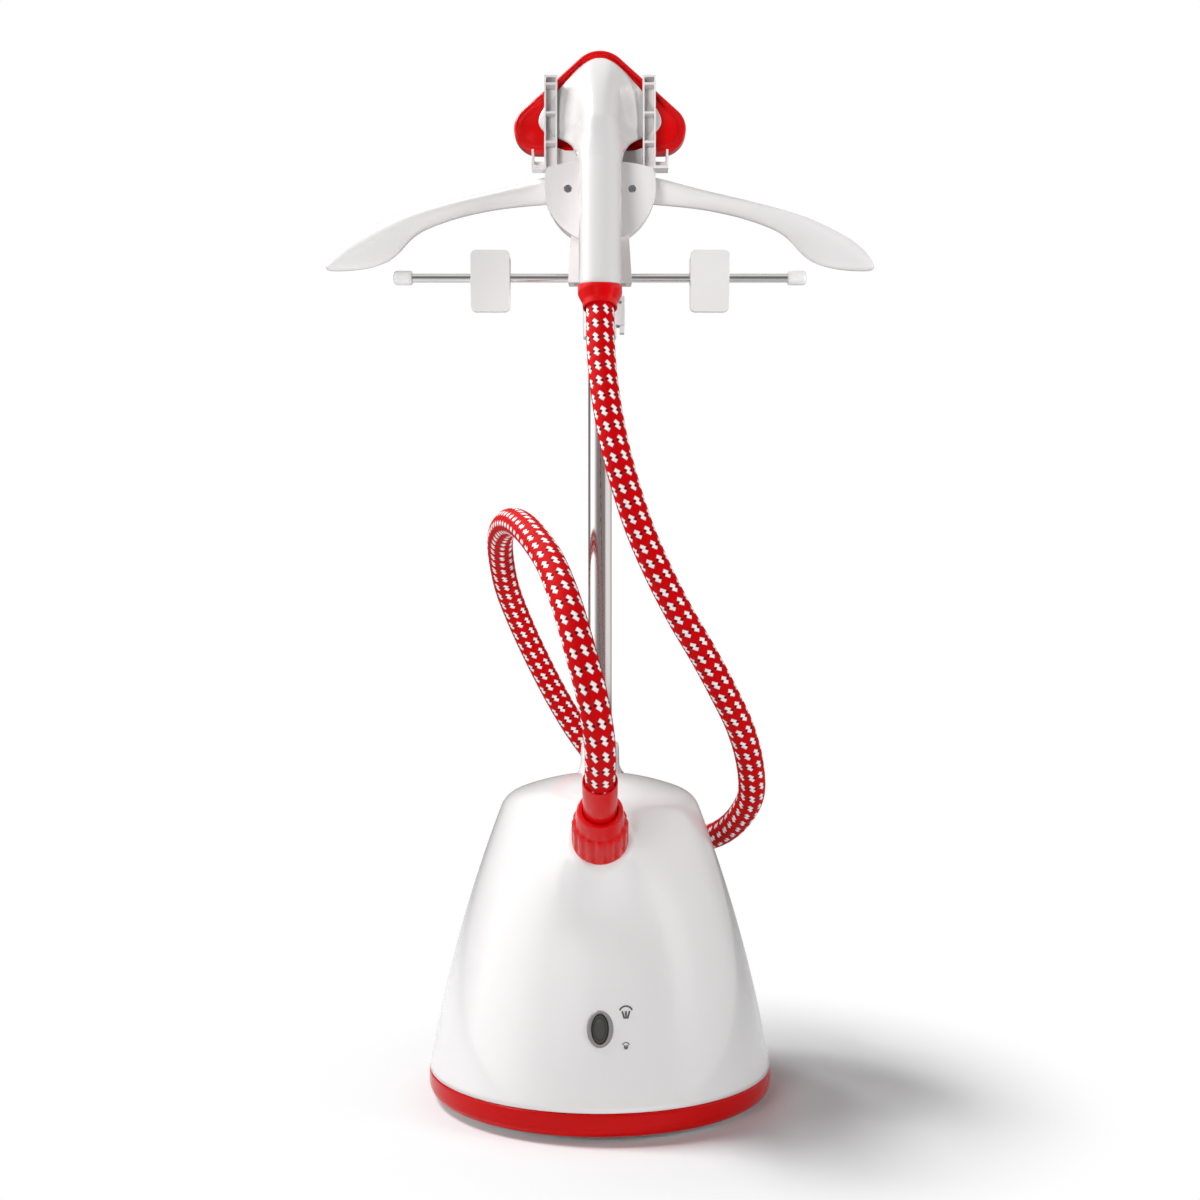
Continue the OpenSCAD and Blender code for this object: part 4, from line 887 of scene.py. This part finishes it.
# ---- Steam head ----
# The handle and its hood are two white mouldings screwed together, with a ridge that runs from
# the handle up over the hood. The hood is screwed to the red rim that holds the steam plate.
handle_foot = Vector((0, -0.07263, 0.7181))
handle_lean, end_lean = radians(14), radians(20)
handle_length, handle_radius, handle_grows = 0.1175, 0.0186, 0.00002
handle_rows, handle_points = 14, 48
split_z = 0.846         # below this height the handle has a back half of its own
handle_up = Vector((0, sin(handle_lean), cos(handle_lean)))
handle_place = Matrix.Translation(handle_foot) @ Matrix.Rotation(-handle_lean, 4, "X")
ridge_reach, ridge_bend_z, hood_top_z, hood_top_y = 0.0191, 0.872, 0.9470, 0.0045
hood_edge_y, hood_back_y, hood_side_y = 0.0052, 0.0076, 0.0062
hood_waist, hood_drop = 0.18, 0.0022
axis_y, axis_z = -0.072, 0.7207     # a point of the handle's axis
# The ridge is a bell across the hood that widens towards the top
bell_wide, bell_widens, bell_widens_z, bell_widens_over = 0.0235, 0.004, 0.900, 0.045
bell_power = 3.4
# Height above the floor, half width and how far the section has turned from handle to hood
hood_rows = [(0.8345, 0.0193, 0.0), (0.8405, 0.0204, 0.04), (0.8461, 0.0220, 0.12),
             (0.8515, 0.0239, 0.22), (0.8563, 0.0259, 0.35), (0.8600, 0.0279, 0.46),
             (0.8632, 0.0301, 0.57), (0.8661, 0.0326, 0.68), (0.8690, 0.0357, 0.79),
             (0.8719, 0.0397, 0.89), (0.8745, 0.0440, 0.96), (0.8768, 0.0485, 1),
             (0.8794, 0.0523, 1), (0.8830, 0.0553, 1), (0.8879, 0.0573, 1), (0.8935, 0.0562, 1),
             (0.9000, 0.0528, 1), (0.9070, 0.0474, 1), (0.9140, 0.0414, 1), (0.9210, 0.0351, 1),
             (0.9280, 0.0288, 1), (0.9342, 0.0232, 1), (0.9393, 0.0178, 1), (0.9430, 0.0123, 1),
             (0.9453, 0.0060, 1)]

def handle_axis_y(z):
    """How far back the handle's axis is at a height."""
    return axis_y + (z - axis_z) * tan(handle_lean)

def ridge_front(z):
    """How far forward the ridge stands at a height."""
    if z < ridge_bend_z:
        return handle_axis_y(z) - ridge_reach
    start = handle_axis_y(ridge_bend_z) - ridge_reach
    t = (z - ridge_bend_z) / (hood_top_z - ridge_bend_z)
    return start + (hood_top_y - start) * (0.55 * t + 0.45 * t ** 3)

def hood_ring(z, half, turn):
    """One level section: a round handle at turn 0, the ridged hood at turn 1."""
    ring = []
    wide = bell_wide + bell_widens * min(1, max(0, (z - bell_widens_z) / bell_widens_over))
    rim_bell = 1 / (1 + (half / wide) ** bell_power)
    for i in range(handle_points):
        a = 2 * pi * i / handle_points
        tube = Vector((half * cos(a), handle_axis_y(z) - handle_radius * sin(a), z))
        x = half * cos(a) * (1 if turn < 0.5 else (1 - hood_waist * (sin(a) ** 2) * turn))
        bell = 1 / (1 + (abs(x) / wide) ** bell_power)
        rise = (bell - rim_bell) / (1 - rim_bell)
        if sin(a) > 1e-6:
            y = hood_edge_y + (ridge_front(z) - hood_edge_y) * rise - hood_drop * sin(a) ** 0.5
        elif sin(a) < -1e-6:
            y = hood_back_y
        else:
            y = hood_side_y
        ring.append(tube.lerp(Vector((x, y, z)), turn))
    return ring

head_rings = []
for i in range(handle_rows):
    centre = handle_foot + handle_up * handle_length * i / (handle_rows - 1)
    radius = handle_radius + handle_grows * i
    # Sections square to the handle turn level below the hood, where the level ones begin
    tilt = handle_lean * (1 - max(0, (i - 9) / 4) * 0.9)
    slant = tan(end_lean) * max(0, 1 - i / 3)       # the lower end is cut off lower at the front
    out = Vector((0, cos(tilt), -sin(tilt))) + handle_up * slant
    ring = []
    for k in range(handle_points):
        a = 2 * pi * k / handle_points
        ring.append(centre + Vector((radius * cos(a), 0, 0)) - out * radius * sin(a))
    head_rings.append(ring)
head_rings += [hood_ring(*row) for row in hood_rows]

def head_skin(keep_back):
    """Either the rear half of the handle, or all the rest of the handle and hood."""
    bm = lofted(head_rings, False, True)
    gone = []
    for face in bm.faces:
        c = face.calc_center_median()
        rear = c.z < split_z and c.y > handle_axis_y(c.z)
        if rear != keep_back:
            gone.append(face)
    bmesh.ops.delete(bm, geom=gone, context="FACES")
    return bm

# Painted shade: the handle and hood get a darker copy of the white plastic, which holds their
# strong light back
head_white_painted_shade = moulded("head_white_painted_shade", (0.68, 0.668, 0.665), 0.20, 1.0, 0.03, 0.012)
for keep_back, label, node in ((False, "head_hood", "head_shell"),
                               (True, "handle_rear", "handle_back")):
    obj = as_object(label, head_skin(keep_back), 70)
    walled(obj, 0.002)
    smoothed(obj)
    finish(obj, head_white_painted_shade, "white_plastic", "head", node)

# The rim's three rounded corners: centre, radius, and the angles between which each one turns
rim_corners = (((0, 0.928), 0.028, 45, 135), ((-0.0575, 0.884), 0.022, 135, 270),
               ((0.0575, 0.884), 0.022, 270, 405))
corner_steps = 24

def rim_ring(inset, y):
    """The rounded triangle of the rim, drawn inwards by inset."""
    ring = []
    for (cx, cz), r, a0, a1 in rim_corners:
        for i in range(corner_steps + 1):
            a = radians(a0 + (a1 - a0) * i / corner_steps)
            ring.append(Vector((cx + (r - inset) * cos(a), y, cz + (r - inset) * sin(a))))
    return ring

bm = lofted([rim_ring(d, y) for d, y in (
    (0.0030, 0.0175), (0.0028, 0.0236), (0.0022, 0.0240), (0.0006, 0.0240), (0.0, 0.0234),
    (0.0, 0.0115), (0.0005, 0.0096), (0.0016, 0.0084), (0.0032, 0.0081), (0.0044, 0.0086),
    (0.0052, 0.0100), (0.0062, 0.0106), (0.0080, 0.0104), (0.0120, 0.0094), (0.0170, 0.0086))])
rim = as_object("head_rim", bm, 50)
finish(rim, red_gloss, "red_plastic", "head", "red_rim")

collar_line = rounded([
    (0.0085, 0.0120), (0.0192, 0.0120), (0.0192, -0.0085), (0.0151, -0.0172), (0.0150, -0.0219),
    (0.0134, -0.0219), (0.0133, -0.0090), (0.0085, -0.0085)], 0.0010)
bm = spun(collar_line, 96)
sliced(bm, (0, 0, 0), (0, -sin(end_lean), cos(end_lean)), clear=True)
bmesh.ops.bridge_loops(bm, edges=[e for e in bm.edges if len(e.link_faces) == 1])
bmesh.ops.recalc_face_normals(bm, faces=bm.faces)
bm.transform(handle_place)
collar = as_object("hose_collar_red", bm)
finish(collar, red_gloss, "red_plastic", "head", "hose_collar")

# ---- Small and hidden pieces ----
# What is left keeps its solid from the model and gets the finish of its material: feet, plate,
# boiler, valve, screws, springs and seals.
def plain_metal(name, colour, rough, grain_scale, stretch=(1, 1, 1)):
    """Bare metal with a fine grain, drawn out where it is brushed."""
    made = bpy.data.materials.new(name)
    made.use_nodes = True
    tree = made.node_tree
    shader = tree.nodes["Principled BSDF"]
    shader.inputs["Metallic"].default_value = 1.0
    where = tree.nodes.new("ShaderNodeTexCoord").outputs["Object"]
    grain = noise(tree, stretched(tree, where, stretch), grain_scale, 4)
    link(tree, mix_colour(tree, grain, [c * 0.88 for c in colour] + [1], list(colour) + [1]),
         shader.inputs["Base Color"])
    link(tree, between(tree, grain, 0.25, 0.75, rough * 0.75, rough * 1.3),
         shader.inputs["Roughness"])
    fine_relief(tree, grain, 0.15, 0.0002)
    return made

finishes = {
    "white_plastic": white_gloss, "red_plastic": red_gloss, "pale_plastic": pale_gloss,
    "tank_plastic": milky, "cap_plastic": clear_cap, "bezel_plastic": satin_grey,
    "rocker_plastic": dark_grey, "pole_metal": polished, "bar_chrome": polished, "red_braid": braid,
    "grey_plastic": moulded("satin_pale_grey", (0.68, 0.67, 0.67), 0.4, 0.0, 0.15),
    "dark_plastic": moulded("matt_black_plastic", (0.035, 0.035, 0.036), 0.5, 0.0, 0.2),
    "valve_plastic": moulded("orange_plastic", (0.80, 0.30, 0.03), 0.4, 0.0, 0.1),
    "black_rubber": moulded("black_rubber", (0.022, 0.022, 0.023), 0.75, 0.0, 0.4),
    "seal_rubber": moulded("seal_rubber", (0.03, 0.03, 0.032), 0.7, 0.0, 0.3),
    "silicone": moulded("clear_silicone", (0.74, 0.72, 0.69), 0.35, 0.0, 0.1),
    "red_silicone": moulded("brown_red_silicone", (0.38, 0.05, 0.03), 0.55, 0.0, 0.2),
    "cast_aluminium": plain_metal("cast_aluminium", (0.60, 0.60, 0.61), 0.42, 900),
    "plate_aluminium": plain_metal("brushed_aluminium", (0.72, 0.72, 0.74), 0.28, 60, (1, 1, 30)),
    "steel": plain_metal("zinc_steel", (0.58, 0.58, 0.60), 0.26, 700),
    "element_steel": plain_metal("dark_steel", (0.30, 0.28, 0.27), 0.4, 500),
}
for part in frame["record"]["subparts"]:
    node = frame["nodes"][part["node"]]
    node.data.materials.clear()
    node.data.materials.append(finishes[part["material_slot"]])
